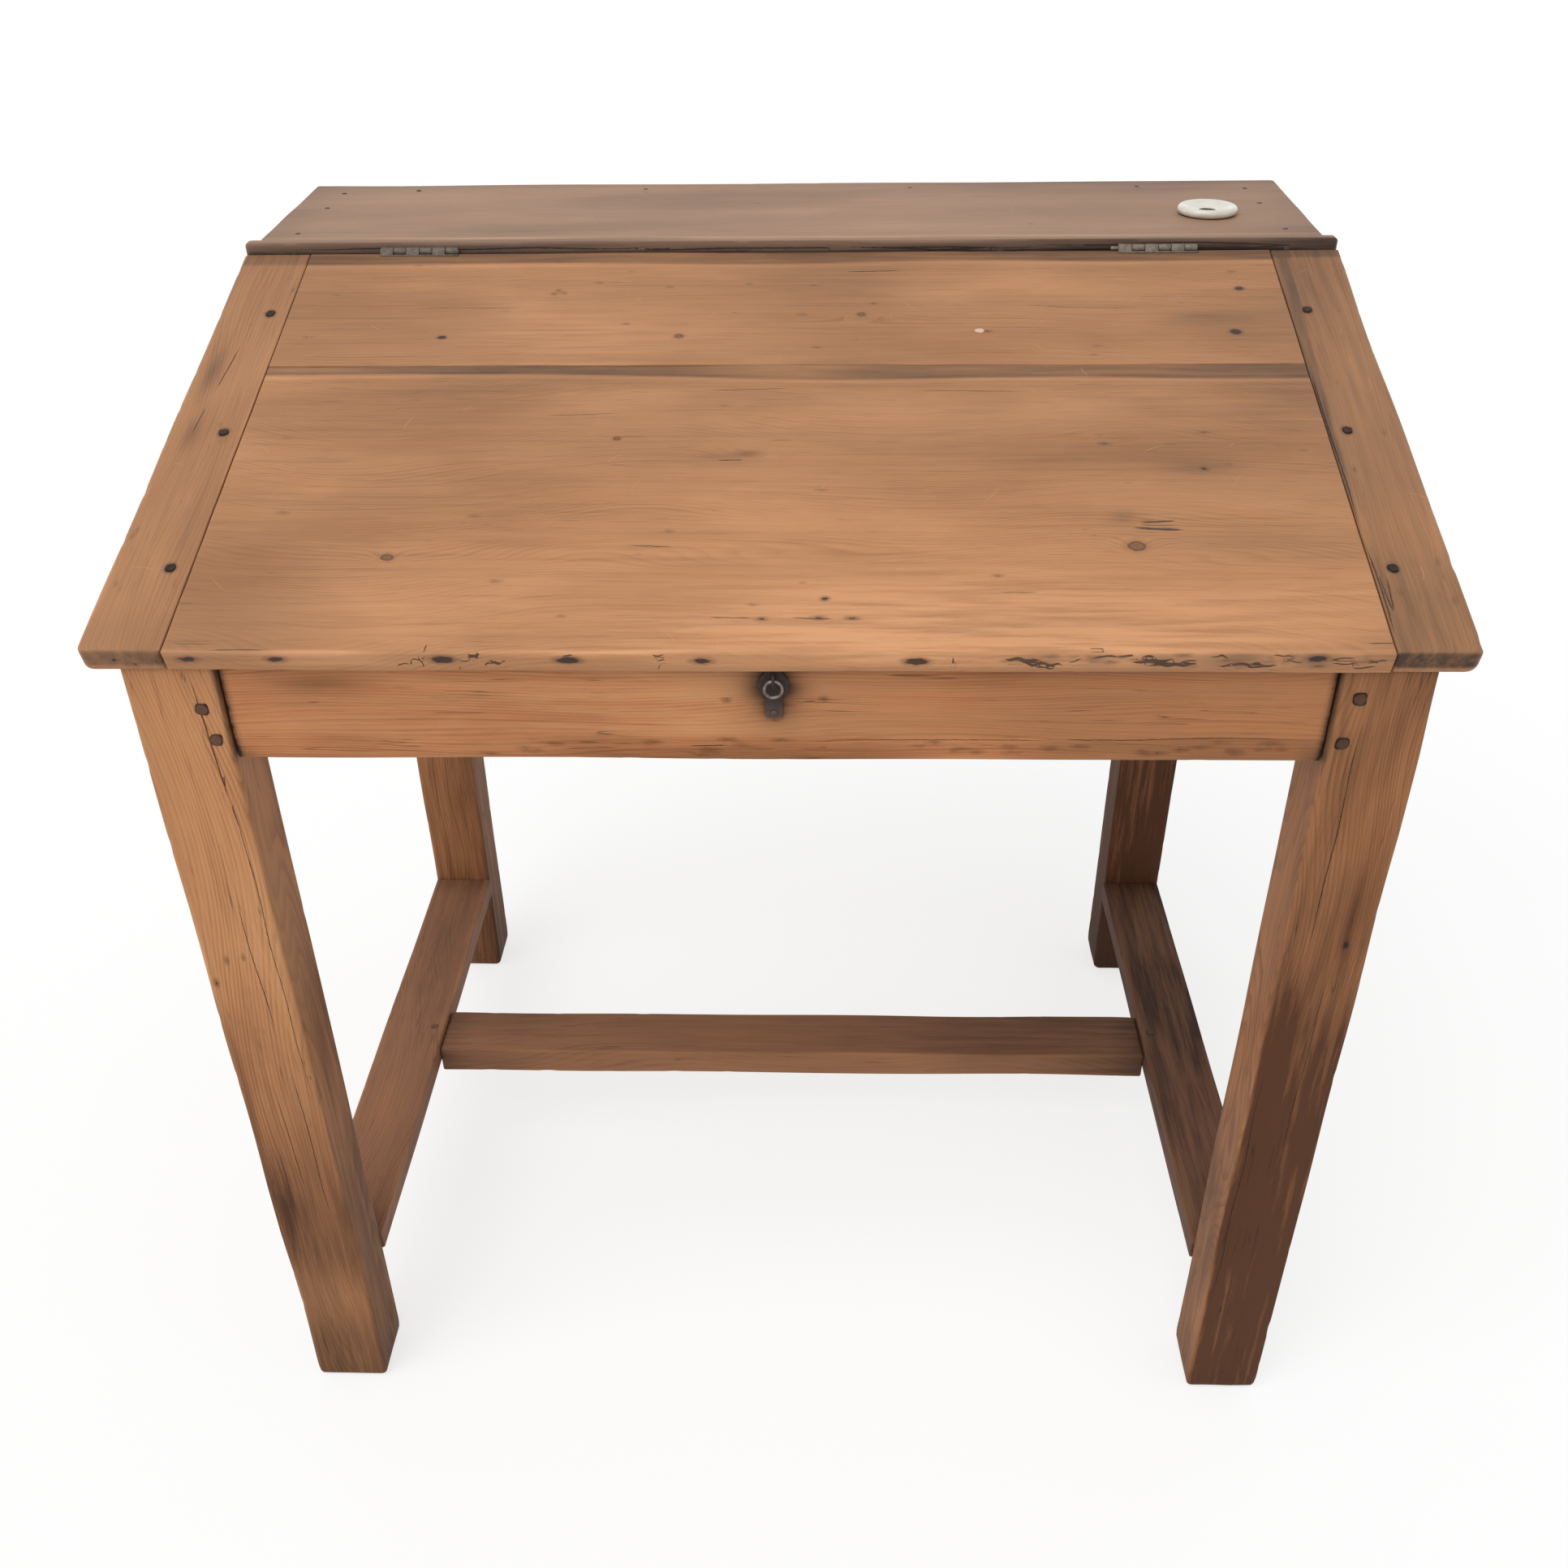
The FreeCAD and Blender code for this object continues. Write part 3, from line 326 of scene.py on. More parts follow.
    @staticmethod
    def faces(rows, columns):
        """Four-sided faces between neighbouring stations, and a fan of triangles at each pole."""
        row = np.arange(rows - 1)[:, None] * columns
        here = np.arange(columns)[None, :]
        there = (here + 1) % columns
        quads = np.stack([row + here, row + there, row + columns + there, row + columns + here], axis=-1)
        here, there = here[0], there[0]
        last = (rows - 1) * columns
        pole = rows * columns
        tris = np.concatenate((
            np.stack([np.full(columns, pole), there, here], axis=-1),
            np.stack([np.full(columns, pole + 1), last + here, last + there], axis=-1),
        ))
        return quads.reshape(-1, 4), tris

    def round_corner(self, end, side, radius):
        """Rounds one corner of the broad face: towards that end, the edge draws in along a quarter circle."""
        near = np.clip(radius - (self.size[0] / 2.0 - end * self.local[:, 0]), 0.0, radius)
        inset = radius - np.sqrt(radius ** 2 - near ** 2)
        share = np.clip(0.5 + side * self.local[:, 1] / self.size[1], 0.0, 1.0)
        self.world -= (side * inset * share)[:, None] * self.axes[1]

    def dent(self, depth, wave=0.06):
        """Shifts the surface a little along both of its cross axes, as old boards move and are knocked."""
        stretched = self.local * (0.25, 1.0, 1.0)
        for number, axis in enumerate(self.axes[1:]):
            self.world += depth * ripple(stretched, self.seed + DENT + number, wave)[:, None] * axis
        return self

    def grow(self, pith, ring, sway=0.006, knots=()):
        """Growth rings: distance from a swaying pith in ring widths, raised in a long bell at each knot."""
        along, across, depth = self.local.T
        place = along[:, None]
        radius = np.hypot(
            across - pith[0] * MM - sway * ripple(place, self.seed + GRAIN, 0.6),
            depth - pith[1] * MM - sway * ripple(place, self.seed + GRAIN + 1, 0.5),
        )
        drawn_out = self.local * (0.2, 1.0, 1.0)
        self.ring = radius / (ring * MM) + 0.9 * ripple(drawn_out, self.seed + GRAIN + 2, 0.05)
        for point, size, rise in knots:
            off = self.off(point)
            reach = np.hypot(np.hypot(off[:, 0] / 1.25, off[:, 1]), off[:, 2] * 0.8)
            self.knot = np.minimum(self.knot, reach / size)
            self.ring += rise * np.exp(-np.hypot(off[:, 0] / (4.2 * size), off[:, 1] / (2.0 * size)) ** 2)
        return self

    def off(self, point, stretch=1.0):
        """How far the board's points lie from a point, in mm along its axes, with the length drawn in."""
        return (self.world - point) @ self.axes.T / MM / (stretch, 1.0, 1.0)

    def swirl(self, places):
        """Arched grain without a knot: the rings rise in a long bell of a length and a width in mm."""
        for point, length, width, rise in places:
            off = self.off(point)
            self.ring += rise * np.exp(-np.hypot(off[:, 0] / length, off[:, 1] / width) ** 2)

    def plug(self, point, size):
        """Pale filler in an old hole: distance to its middle less its radius, in mm."""
        self.filler = np.minimum(self.filler, np.linalg.norm(self.off(point, 1.3), axis=1) - size)

    def spot(self, points, radius, stretch=1.0):
        """Holes and nail marks, long with the grain: distance to the nearest point less its radius, in mm."""
        for point, size in zip(points, np.broadcast_to(radius, len(points))):
            self.hole = np.minimum(self.hole, np.linalg.norm(self.off(point, stretch), axis=1) - size)
        return self

    def spots(self, face, rows, stretch):
        """Holes from rows of two numbers that the face turns into a point, and a radius in mm."""
        self.spot([face(*row[:2]) for row in rows], [row[2] for row in rows], stretch)

    def draw_line(self, line, start, end, seed, bow, width, facing=2, side=1.0, wave=0.16):
        """A wavering line on one face: signed distance in mm, and a weight that fades at its ends."""
        first, last = [(np.array(point) @ self.axes.T - self.middle) for point in (start, end)]
        across = 1 if facing == 2 else 2
        run = np.array((last[0] - first[0], last[across] - first[across]))
        length = float(np.hypot(*run))
        run /= length
        off = np.stack([self.local[:, 0] - first[0], self.local[:, across] - first[across]])
        along = off[0] * run[0] + off[1] * run[1]
        gap = off[1] * run[0] - off[0] * run[1]
        gap = (gap - bow * MM * ripple(along[:, None], seed, wave)) / MM
        fade = ease(along, 0.0, 0.25 * length) * ease(along, length, 0.75 * length)
        on_face = side * self.local[:, facing] > self.size[facing] / 2.0 - FACE_DEPTH
        weight = width * fade * ease(np.abs(gap), 5.0, 3.0) * on_face
        nearer = (weight > 0.0) & (np.abs(gap) < np.abs(line[0]))
        line[0] = np.where(nearer, gap, line[0])
        line[1] = np.where(nearer, weight, line[1])

    def cracks(self, face, rows, *where):
        """Cracks from rows of two numbers for each end, which the face makes a point, a bow and a width."""
        for number, (x, y, to_x, to_y, bow, width) in enumerate(rows):
            seed = self.seed + CRACK + number
            self.draw_line(self.crack, face(x, y), face(to_x, to_y), seed, bow, width, *where)

    def specks(self, count):
        """Small dark marks over the face, shared out by a seeded draw."""
        rng = np.random.default_rng(self.seed + SPECK)
        half = self.size[:2] / 2.0 * 0.95
        places = np.column_stack([rng.uniform(-half, half, (count, 2)), np.full(count, self.size[2] / 2.0)])
        return self.spot((places + self.middle) @ self.axes, 0.5 - rng.uniform(0.0, 2.0, count), 2.6)

    def scratches(self, count, longest, reach):
        """Random pale scratches over the face, shared out by a seeded draw."""
        rng = np.random.default_rng(self.seed + SCRATCH)
        half = self.size[:2] / 2.0 * reach
        for number in range(count):
            middle = rng.uniform(-half, half)
            turn = rng.uniform(-1.5, 1.5)
            run = rng.uniform(0.25, 1.0) * longest / 2.0 * np.array((math.cos(turn), math.sin(turn)))
            places = [np.array((*(middle + way * run), self.size[2] / 2.0)) for way in (-1.0, 1.0)]
            start, end = [(place + self.middle) @ self.axes for place in places]
            width = rng.uniform(0.25, 0.6)
            self.draw_line(self.scratch, start, end, self.seed + SCRATCH + 1 + number, 0.9, width, wave=0.03)
        return self

    def weather(self, edge_wear, patches, end_grime):
        """Paler worn arrises, blotches that follow the grain, and grime near the ends."""
        along, across, depth = np.abs(self.local).T
        half = self.size / 2.0
        worn = ease(np.maximum(half[1] - across, half[2] - depth) / MM, 4.5, 0.8)
        worn *= 0.6 + 0.5 * ripple(self.local, self.seed + WEAR, 0.12)
        self.pale += edge_wear * np.clip(worn, 0.0, None)
        blotch = ripple(self.local * (0.35, 1.0, 1.0), self.seed + WEAR + 1, 0.12)
        self.dark += patches * np.clip(blotch - 0.3, 0.0, 1.2)
        self.pale += 0.8 * patches * np.clip(-blotch - 0.4, 0.0, 1.2)
        self.grime_and_shade += end_grime * ease((half[0] - along) / MM, 40.0, 2.0)
        return self


# Meshes and pieces


def build_mesh(name, points, quads, tris):
    """A mesh from whole arrays of points, four-sided faces and triangles."""
    mesh = bpy.data.meshes.new(name)
    corners = np.concatenate((quads.ravel(), tris.ravel())).astype(np.int32)
    sizes = np.concatenate((np.full(len(quads), 4), np.full(len(tris), 3)))
    starts = np.concatenate(((0,), np.cumsum(sizes)[:-1])).astype(np.int32)
    mesh.vertices.add(len(points))
    mesh.loops.add(len(corners))
    mesh.polygons.add(len(sizes))
    mesh.vertices.foreach_set("co", points.astype(np.float32).ravel())
    mesh.loops.foreach_set("vertex_index", corners)
    mesh.polygons.foreach_set("loop_start", starts)
    mesh.polygons.foreach_set("use_smooth", np.ones(len(sizes), bool))
    mesh.update(calc_edges=True)
    mesh.validate()
    return mesh


def put_field(mesh, name, *columns):
    """Stores one value, or three, for every point of a mesh."""
    kind, key = ("FLOAT", "value") if len(columns) == 1 else ("FLOAT_VECTOR", "vector")
    field = mesh.attributes.new(name, kind, "POINT")
    field.data.foreach_set(key, np.stack(columns, axis=-1).astype(np.float32).ravel())


def joined(name, shapes):
    """One mesh from several shapes, each of points, four-sided faces and triangles."""
    offset = np.cumsum([0] + [len(shape[0]) for shape in shapes])
    quads, tris = [
        np.concatenate([shape[kind] + start for shape, start in zip(shapes, offset)]) for kind in (1, 2)
    ]
    return build_mesh(name, np.concatenate([shape[0] for shape in shapes]), quads, tris)


def add_object(name, data):
    """A new object of the scene, at the origin."""
    made = bpy.data.objects.new(name, data)
    bpy.context.scene.collection.objects.link(made)
    return made


def add_piece(mesh, node, slot, body="frame", finish=None):
    """An object named as its mesh, that rides a body and stands for a CAD node."""
    piece = add_object(mesh.name, mesh)
    mesh.materials.append(desk_material(finish or slot))
    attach(piece, body)
    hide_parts(node)
    return piece


def add_boards(node, boards, slot, body="frame", finish=None):
    """One piece of wood, or a group of like ones, with the fields that its material reads."""
    mesh = joined(node + "_worn", [(board.world, board.quads, board.tris) for board in boards])
    fields = {
        key: np.concatenate([getattr(board, key) for board in boards], axis=-1)
        for key in ("ring", "knot", "hole", "filler", "dark", "pale", "grime_and_shade", "crack", "scratch")
    }
    put_field(mesh, "fibre", *np.concatenate([board.local + board.seed * FIBRE_SHIFT for board in boards]).T)
    put_field(mesh, "ring", fields["ring"])
    put_field(mesh, "tone", fields["dark"], fields["pale"], fields["grime_and_shade"])
    put_field(mesh, "marks", fields["hole"], fields["knot"], fields["filler"])
    put_field(mesh, "lines", *fields["crack"], fields["scratch"][0])
    put_field(mesh, "scratch", fields["scratch"][1])
    return add_piece(mesh, node, slot, body, finish)


def add_shapes(node, shapes, slot, body="frame"):
    """One piece made of several turned or swept shapes."""
    return add_piece(joined(node + "_worn", shapes), node, slot, body)


def turned(profile, base, axis, segments, seed=0, rough=0.0):
    """A closed turned shape: a profile of radius and height carried round an axis, with a pole at each end.

    Radius and height may waver a little with the angle, as hand-made things do.
    """
    axis = np.array(axis, float)
    side = unit(np.cross(axis, SKEW))
    other = np.cross(axis, side)
    profile = np.array(profile, float)
    rim = profile[1:-1]
    ring = circle(segments)
    flat = rim[:, None, 0] * (1.0 + rough * ripple(ring, seed, 3.0))[None, :]
    rows = flat[..., None] * (ring[:, :1] * side + ring[:, 1:] * other)[None] + rim[:, None, 1:] * axis
    poles = np.outer(profile[[0, -1], 1], axis)
    quads, tris = Board.faces(*flat.shape)
    return np.concatenate((rows.reshape(-1, 3), poles)) + base, quads, tris


def swept(loop, start, end, bevel):
    """A closed outline in the upright plane along the depth, carried to the right, with bevelled ends.

    The outline is drawn in towards its middle at each end and closed by a pole there.
    """
    loop = np.array(loop, float)
    middle = loop.mean(axis=0)
    reach = np.abs(loop - middle).max()
    stations = ((start, 0.55), (start, 1.0 - bevel / reach), (start + bevel, 1.0),
                (end - bevel, 1.0), (end, 1.0 - bevel / reach), (end, 0.55))
    rows = [
        np.column_stack([np.full(len(loop), place), middle + scale * (loop - middle)])
        for place, scale in stations
    ]
    poles = [(start, *middle), (end, *middle)]
    quads, tris = Board.faces(len(stations), len(loop))
    return np.concatenate(rows + [poles]), quads, tris


def hoop(middle, axis, side, radius, wire, seed, rough):
    """A closed ring of round wire: a small circle carried round a large one, a little uneven."""
    other = np.cross(axis, side)
    large, small = circle(HOOP_SIDES), circle(WIRE_SIDES)
    out = large[:, :1] * side + large[:, 1:] * other
    thick = wire * (1.0 + rough * ripple(large, seed, 1.2))[:, None]
    reach = radius + thick * small[:, 0]
    rows = reach[..., None] * out[:, None] + (thick * small[:, 1])[..., None] * axis
    here = np.arange(HOOP_SIDES)[:, None] * WIRE_SIDES
    there = np.roll(here, -1, axis=0)
    near = np.arange(WIRE_SIDES)[None, :]
    far = np.roll(near, -1, axis=1)
    quads = np.stack([here + near, there + near, there + far, here + far], axis=-1)
    return rows.reshape(-1, 3) + middle, quads.reshape(-1, 4), np.empty((0, 3), int)


# Materials


class Wiring:
    """Adds nodes to a tree and links them."""

    def __init__(self, tree):
        self.tree = tree

    def node(self, kind, feeds=None, **settings):
        """A new node with its settings made and its inputs fed."""
        node = self.tree.nodes.new(kind)
        for key, value in settings.items():
            setattr(node, key, value)
        for key, value in (feeds or {}).items():
            self.feed(node.inputs[key], value)
        return node

    def feed(self, socket, value):
        """Links a socket to another, or sets it."""
        if isinstance(value, bpy.types.NodeSocket):
            self.tree.links.new(value, socket)
        else:
            socket.default_value = value

    def math(self, operation, first, second=0.0, clamp=False):
        """One sum on numbers."""
        feeds = {0: first, 1: second}
        return self.node("ShaderNodeMath", feeds, operation=operation, use_clamp=clamp).outputs[0]

    def times(self, first, second, clamp=False):
        """The product of two numbers."""
        return self.math("MULTIPLY", first, second, clamp)

    def plus(self, first, second, clamp=False):
        """The sum of two numbers."""
        return self.math("ADD", first, second, clamp)

    def seen(self):
        """One where the camera looks, directly, in a mirror or through glass."""
        path = self.node("ShaderNodeLightPath").outputs
        seen = self.math("MAXIMUM", path["Is Camera Ray"], path["Is Glossy Ray"])
        return self.math("MAXIMUM", seen, path["Is Transmission Ray"])


class Finish(Wiring):
    """Wires the nodes of one material, whose colour is laid on coat by coat."""

    def __init__(self, name):
        self.material = bpy.data.materials.new(name)
        self.material.use_nodes = True
        super().__init__(self.material.node_tree)
        self.tree.nodes.clear()
        self.shader = self.node("ShaderNodeBsdfPrincipled")
        surface = self.node("ShaderNodeOutputMaterial")
        self.tree.links.new(self.shader.outputs[0], surface.inputs["Surface"])
        self.colour = None

    def set(self, name, value):
        """Feeds one input of the shader."""
        self.feed(self.shader.inputs[name], value)

    def field(self, name, single=False):
        """A value stored on the piece's points."""
        return self.node("ShaderNodeAttribute", attribute_name=name).outputs["Fac" if single else "Vector"]

    def place(self):
        """Where a point lies on the piece."""
        return self.node("ShaderNodeTexCoord").outputs["Object"]

    def parts(self, vector):
        """The three parts of a vector."""
        return self.node("ShaderNodeSeparateXYZ", {0: vector}).outputs[:]

    def stretch(self, vector, scale):
        """A vector scaled along each axis."""
        return self.node("ShaderNodeVectorMath", {0: vector, 1: scale}, operation="MULTIPLY").outputs[0]

    def noise(self, vector, scale, detail=2.0, rough=0.5):
        """Cloudy noise with so many cells to the metre along each axis."""
        feeds = {"Vector": self.stretch(vector, scale), "Scale": 1.0, "Detail": detail, "Roughness": rough}
        return self.node("ShaderNodeTexNoise", feeds).outputs[0]

    def span(self, value, low, high, start=0.0, end=1.0):
        """A smooth step of a value."""
        feeds = {0: value, 1: low, 2: high, 3: start, 4: end}
        return self.node("ShaderNodeMapRange", feeds, interpolation_type="SMOOTHSTEP").outputs[0]

    def blend(self, share, first, second, kind="MIX"):
        """One colour laid over another."""
        node = self.node("ShaderNodeMix", {0: share, 6: first, 7: second}, data_type="RGBA", blend_type=kind)
        return node.outputs[2]

    def coat(self, share, tint, kind="MIX"):
        """Lays a colour over what is there."""
        self.colour = self.blend(share, self.colour, tint, kind)

    def curve(self, value, stops):
        """A number that follows a few stops."""
        ramp = self.node("ShaderNodeValToRGB", {0: value})
        elements = ramp.color_ramp.elements
        while len(elements) < len(stops):
            elements.new(0.5)
        for element, (place, height) in zip(elements, stops):
            element.position = place
            element.color = (height, height, height, 1.0)
        return ramp.outputs[0]

    def bump(self, height, strength, distance):
        """Relief from a height in metres times distance."""
        feeds = {"Height": height, "Strength": strength, "Distance": distance}
        self.set("Normal", self.node("ShaderNodeBump", feeds).outputs[0])


def pine(name, early, late, stain, pale, rings, streaks, checks, gloss, sheen=0.2):
    """Old pine: rings from the ring field, fibre streaks, then stains and painted shade, wear, knots, cracks
    and holes.
    """
    wood = Finish(name)
    soot_and_shade, putty = level(SOOT_AND_SHADE), level(PUTTY)
    fibre, ring = wood.field("fibre"), wood.field("ring", True)
    dark, worn, grime_and_shade = wood.parts(wood.field("tone"))
    hole, knot, filler = wood.parts(wood.field("marks"))
    crack, crack_width, scratch = wood.parts(wood.field("lines"))
    scratch_width = wood.field("scratch", True)

    def grain(along, across, *settings):
        """Noise drawn out along the fibre."""
        return wood.noise(fibre, (along, across, across), *settings)

    def stroke(line, width, shake):
        """A ragged line, from 1 at its middle to 0 at its width."""
        off = wood.math("ABSOLUTE", wood.plus(line, wood.times(jitter, shake)))
        off = wood.math("DIVIDE", off, wood.math("MAXIMUM", width, 0.02))
        return wood.math("SUBTRACT", 1.0, off, True)

    # Rings: pale early wood that deepens and stops at the late wood's edge, each ring with its own strength.
    phase = wood.plus(ring, wood.times(grain(6.0, 90.0), 0.9))
    number = wood.math("FLOOR", phase)
    own = wood.node("ShaderNodeTexWhiteNoise", {"W": number}, noise_dimensions="1D").outputs[0]
    stops = ((0.0, 0.3), (0.12, 0.0), (0.4, 0.1), (0.8, 0.85), (0.92, 1.0), (1.0, 0.35))
    late_wood = wood.curve(wood.math("FRACT", phase), stops)
    cloud = grain(4.0, 22.0, 3.0)
    strength = wood.times(wood.span(own, 0.0, 1.0, 0.35, 1.0), wood.span(cloud, 0.32, 0.66, 0.45, 1.0))
    share = wood.times(wood.times(late_wood, strength), rings, True)
    wood.colour = wood.blend(share, early, late)

    # Fibre: long streaks, a fine thread and short dark pores.
    streak = grain(5.0, 260.0, 5.0, 0.62)
    wood.coat(streaks, wood.curve(streak, ((0.3, 0.6), (0.5, 0.95), (0.7, 1.0))), "MULTIPLY")
    thread = grain(38.0, 1700.0)
    wood.coat(0.6 * streaks, wood.curve(thread, ((0.3, 0.68), (0.62, 1.0))), "MULTIPLY")
    wood.coat(wood.span(grain(26.0, 700.0, 1.0), 0.68, 0.78, 0.0, 0.45), stain)

    # Broad drifts of tone, then wear, stain and grime with broken edges; stain and grime also lay the shade
    # that some pieces paint.
    drift = grain(5.0, 13.0, 6.0, 0.6)
    wood.coat(wood.span(drift, 0.48, 0.72, 0.0, 0.42), late)
    wood.coat(wood.span(drift, 0.5, 0.28, 0.0, 0.34), pale)
    broken = grain(9.0, 140.0, 6.0, 0.62)
    soft = wood.span(broken, 0.3, 0.7, 0.74, 1.26)
    hard = wood.span(broken, 0.36, 0.64, 0.4, 1.5)
    for amount, edge, tint in ((worn, hard, pale), (dark, soft, stain), (grime_and_shade, soft, soot_and_shade)):
        wood.coat(wood.times(amount, edge, True), tint)

    # Fine drying checks along the grain, in places.
    check = wood.math("ABSOLUTE", wood.math("SUBTRACT", grain(4.0, 170.0), 0.5))
    check = wood.times(wood.span(check, 0.011, 0.001), wood.span(grain(13.0, 40.0), 0.5, 0.62))
    check = wood.times(check, checks)
    wood.coat(check, soot_and_shade)

    # Knots with their own rings and a broken dark rim.
    jitter = wood.math("SUBTRACT", grain(220.0, 420.0, 3.0), 0.5)
    knot = wood.plus(knot, wood.times(jitter, 0.8))
    rim = wood.math("FRACT", wood.times(knot, 2.4))
    knot_colour = wood.blend(wood.span(rim, 0.2, 0.9, 0.35, 1.0), late, stain)
    wood.coat(wood.span(knot, 2.4, 1.0, 0.0, 0.5), late)
    wood.coat(wood.times(wood.span(knot, 1.12, 0.9), 0.85), knot_colour)
    outline = wood.math("ABSOLUTE", wood.math("SUBTRACT", knot, 1.0))
    wood.coat(wood.span(outline, 0.26, 0.05, 0.0, 0.7), wood.blend(0.4, stain, soot_and_shade))

    # Scratches, cracks, holes and filled holes.
    wood.coat(wood.times(stroke(scratch, scratch_width, 0.5), 0.45), pale)
    split = wood.span(stroke(crack, crack_width, 1.1), 0.0, 0.6)
    wood.coat(wood.times(split, 0.85), soot_and_shade)
    ragged = wood.plus(hole, wood.times(jitter, 2.2))
    wood.coat(wood.span(ragged, 2.6, 0.0, 0.0, 0.5), stain)
    pit = wood.span(ragged, 0.4, -0.6)
    wood.coat(wood.times(pit, 0.88), soot_and_shade)
    wood.coat(wood.span(wood.plus(filler, wood.times(jitter, 1.6)), 0.5, -0.3), putty)
    wood.set("Base Color", wood.colour)

    # Waxed sheen, duller where it is stained or cracked, and relief of rings, fibre and marks.
    dull = wood.plus(wood.times(dark, 0.12), wood.times(thread, 0.2))
    wood.set("Roughness", wood.plus(dull, gloss, True))
    wood.set("Specular IOR Level", sheen)
    relief = wood.plus(wood.times(share, 0.3), wood.times(streak, 0.5))
    relief = wood.plus(relief, wood.times(thread, 0.25))
    sunk = wood.plus(wood.times(split, 1.6), wood.times(pit, 1.8))
    wood.bump(wood.math("SUBTRACT", relief, wood.plus(sunk, check)), 0.6, 0.4 * MM)
    return wood.material


def old_metal(name, bright, dull, rust, tarnish, roughness, shine, grain=900.0, relief=0.35, worn=None):
    """Handled metal: bright metal under a broken skin of tarnish, with rust in the hollows.

    The foot of the CAD node that is named as worn is rubbed to a colour of its own.
    """
    metal = Finish(name)
    place = metal.place()
    cloud = metal.noise(place, (260.0, 260.0, 260.0), 5.0, 0.65)
    speck = metal.noise(place, (grain, grain, grain), 3.0, 0.6)
    metal.colour = metal.blend(metal.span(cloud, 0.62 - tarnish * 0.4, 0.72 - tarnish * 0.2), bright, dull)
    rusty = metal.times(metal.span(cloud, 0.54, 0.68), metal.span(speck, 0.4, 0.62))
    metal.coat(metal.times(rusty, 0.75), rust)
    if worn:
        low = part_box(worn)[0].z
        rubbed = metal.span(metal.parts(place)[2], low + WORN_FOOT, low, 0.0, 0.85)
        rubbed = metal.times(rubbed, metal.span(cloud, 0.3, 0.6, 0.4, 1.1), True)
        metal.coat(rubbed, level(bpy.context.scene.desk_colours.iron_worn))
    # Dirt, and the painted shade of the dark strips on the hinges, where the soil field says.
    metal.coat(metal.field("soil_and_shade", True), level(SOIL_AND_SHADE))
    metal.set("Base Color", metal.colour)
    metal.set("Metallic", metal.span(rusty, 0.0, 0.6, shine, 0.05))
    metal.set("Roughness", metal.span(speck, 0.3, 0.75, roughness, roughness + 0.25))
    metal.bump(metal.plus(cloud, metal.times(speck, 0.5)), relief, 0.2 * MM)
    return metal.material


def glaze(name, white, cream, dirt):
    """Creamy glaze: soft clouds of tone, crazing lines, and ink, dirt and painted shade where the soil field
    says.
    """
    ware = Finish(name)
    place = ware.place()
    cloud = ware.noise(place, (90.0, 90.0, 90.0), 4.0, 0.6)
    ware.colour = ware.blend(ware.span(cloud, 0.35, 0.7), white, cream)
    cells = {"Vector": ware.stretch(place, (240.0, 240.0, 240.0)), "Scale": 1.0}
    craze = ware.node("ShaderNodeTexVoronoi", cells, feature="DISTANCE_TO_EDGE").outputs["Distance"]
    ware.coat(ware.span(craze, 0.03, 0.0, 0.0, 0.07), dirt)
    ware.coat(ware.times(ware.field("soil_and_shade", True), ware.span(cloud, 0.2, 0.7, 0.7, 1.2), True), dirt)
    ware.set("Base Color", ware.colour)
    ware.set("Roughness", ware.span(cloud, 0.3, 0.7, 0.12, 0.24))
    ware.set("Coat Weight", 0.4)
    ware.set("Coat Roughness", 0.08)
    ware.bump(cloud, 0.08, 0.3 * MM)
    return ware.material


# What makes each finish, which of the colour settings it takes, and its numbers in the maker's order.
FINISHES = {
    "lid_pine": (pine, "lid_early lid_late lid_stain lid_pale", (0.6, 0.46, 0.2, 0.4, 0.3)),
    "frame_pine": (pine, "frame_early frame_late frame_stain frame_pale", (0.85, 0.5, 0.55, 0.46)),
    "apron_pine": (pine, "apron_early apron_late frame_stain frame_pale", (0.85, 0.5, 0.55, 0.46)),
    "shelf_pine": (pine, "shelf_early shelf_late shelf_stain shelf_pale", (0.45, 0.4, 0.15, 0.5, 0.3)),
    "stretcher_pine": (pine, "low_early low_late low_stain low_pale", (0.7, 0.5, 0.4, 0.5)),
    "inner_pine": (pine, "inner_early inner_late frame_stain frame_pale", (0.6, 0.5, 0.3, 0.6)),
    "peg_wood": (pine, "peg_early peg_late low_stain low_pale", (0.6, 0.6, 0.3, 0.5)),
    "hinge_steel": (old_metal, "hinge_bright hinge_dull hinge_rust", (0.6, 0.55, 0.25, 500.0, 0.12)),
    "ring_steel": (old_metal, "ring_bright ring_dull rust", (0.45, 0.4, 0.7)),
    "pull_iron": (old_metal, "iron_bright iron_dull rust", (0.8, 0.65, 0.2, 900.0, 0.35, "pull_plate")),
    "nail_iron": (old_metal, "nail_bright nail_dull rust", (0.9, 0.7, 0.1)),
    "white_glaze": (glaze, "glaze_white glaze_cream glaze_dirt", ()),
}


def desk_material(finish):
    """The finish of one material slot, or of the redder apron, made when it is first asked for."""
    name = "finish_" + finish
    made = bpy.data.materials.get(name)
    if made:
        return made
    maker, colours, numbers = FINISHES[finish]
    settings = bpy.context.scene.desk_colours
    return maker(name, *[level(getattr(settings, colour)) for colour in colours.split()], *numbers)


# Settings


def colour_setting(name, description, red, green, blue):
    """A colour as a screen shows it, written in steps of 255."""
    return FloatVectorProperty(
        name=name, description=description, subtype="COLOR_GAMMA", size=3, min=0.0, max=1.0,
        default=(red / 255.0, green / 255.0, blue / 255.0),
    )


def length_setting(name, description, default):
    """A length in metres."""
    return FloatProperty(
        name=name, description=description, default=default, unit="LENGTH", subtype="DISTANCE",
    )


def angle_setting(name, description, default):
    """An angle in radians."""
    return FloatProperty(name=name, description=description, default=default, subtype="ANGLE")


def pixel_setting(name, description, default):
    """A length in pixels of the picture."""
    return FloatProperty(name=name, description=description, default=default, subtype="PIXEL")


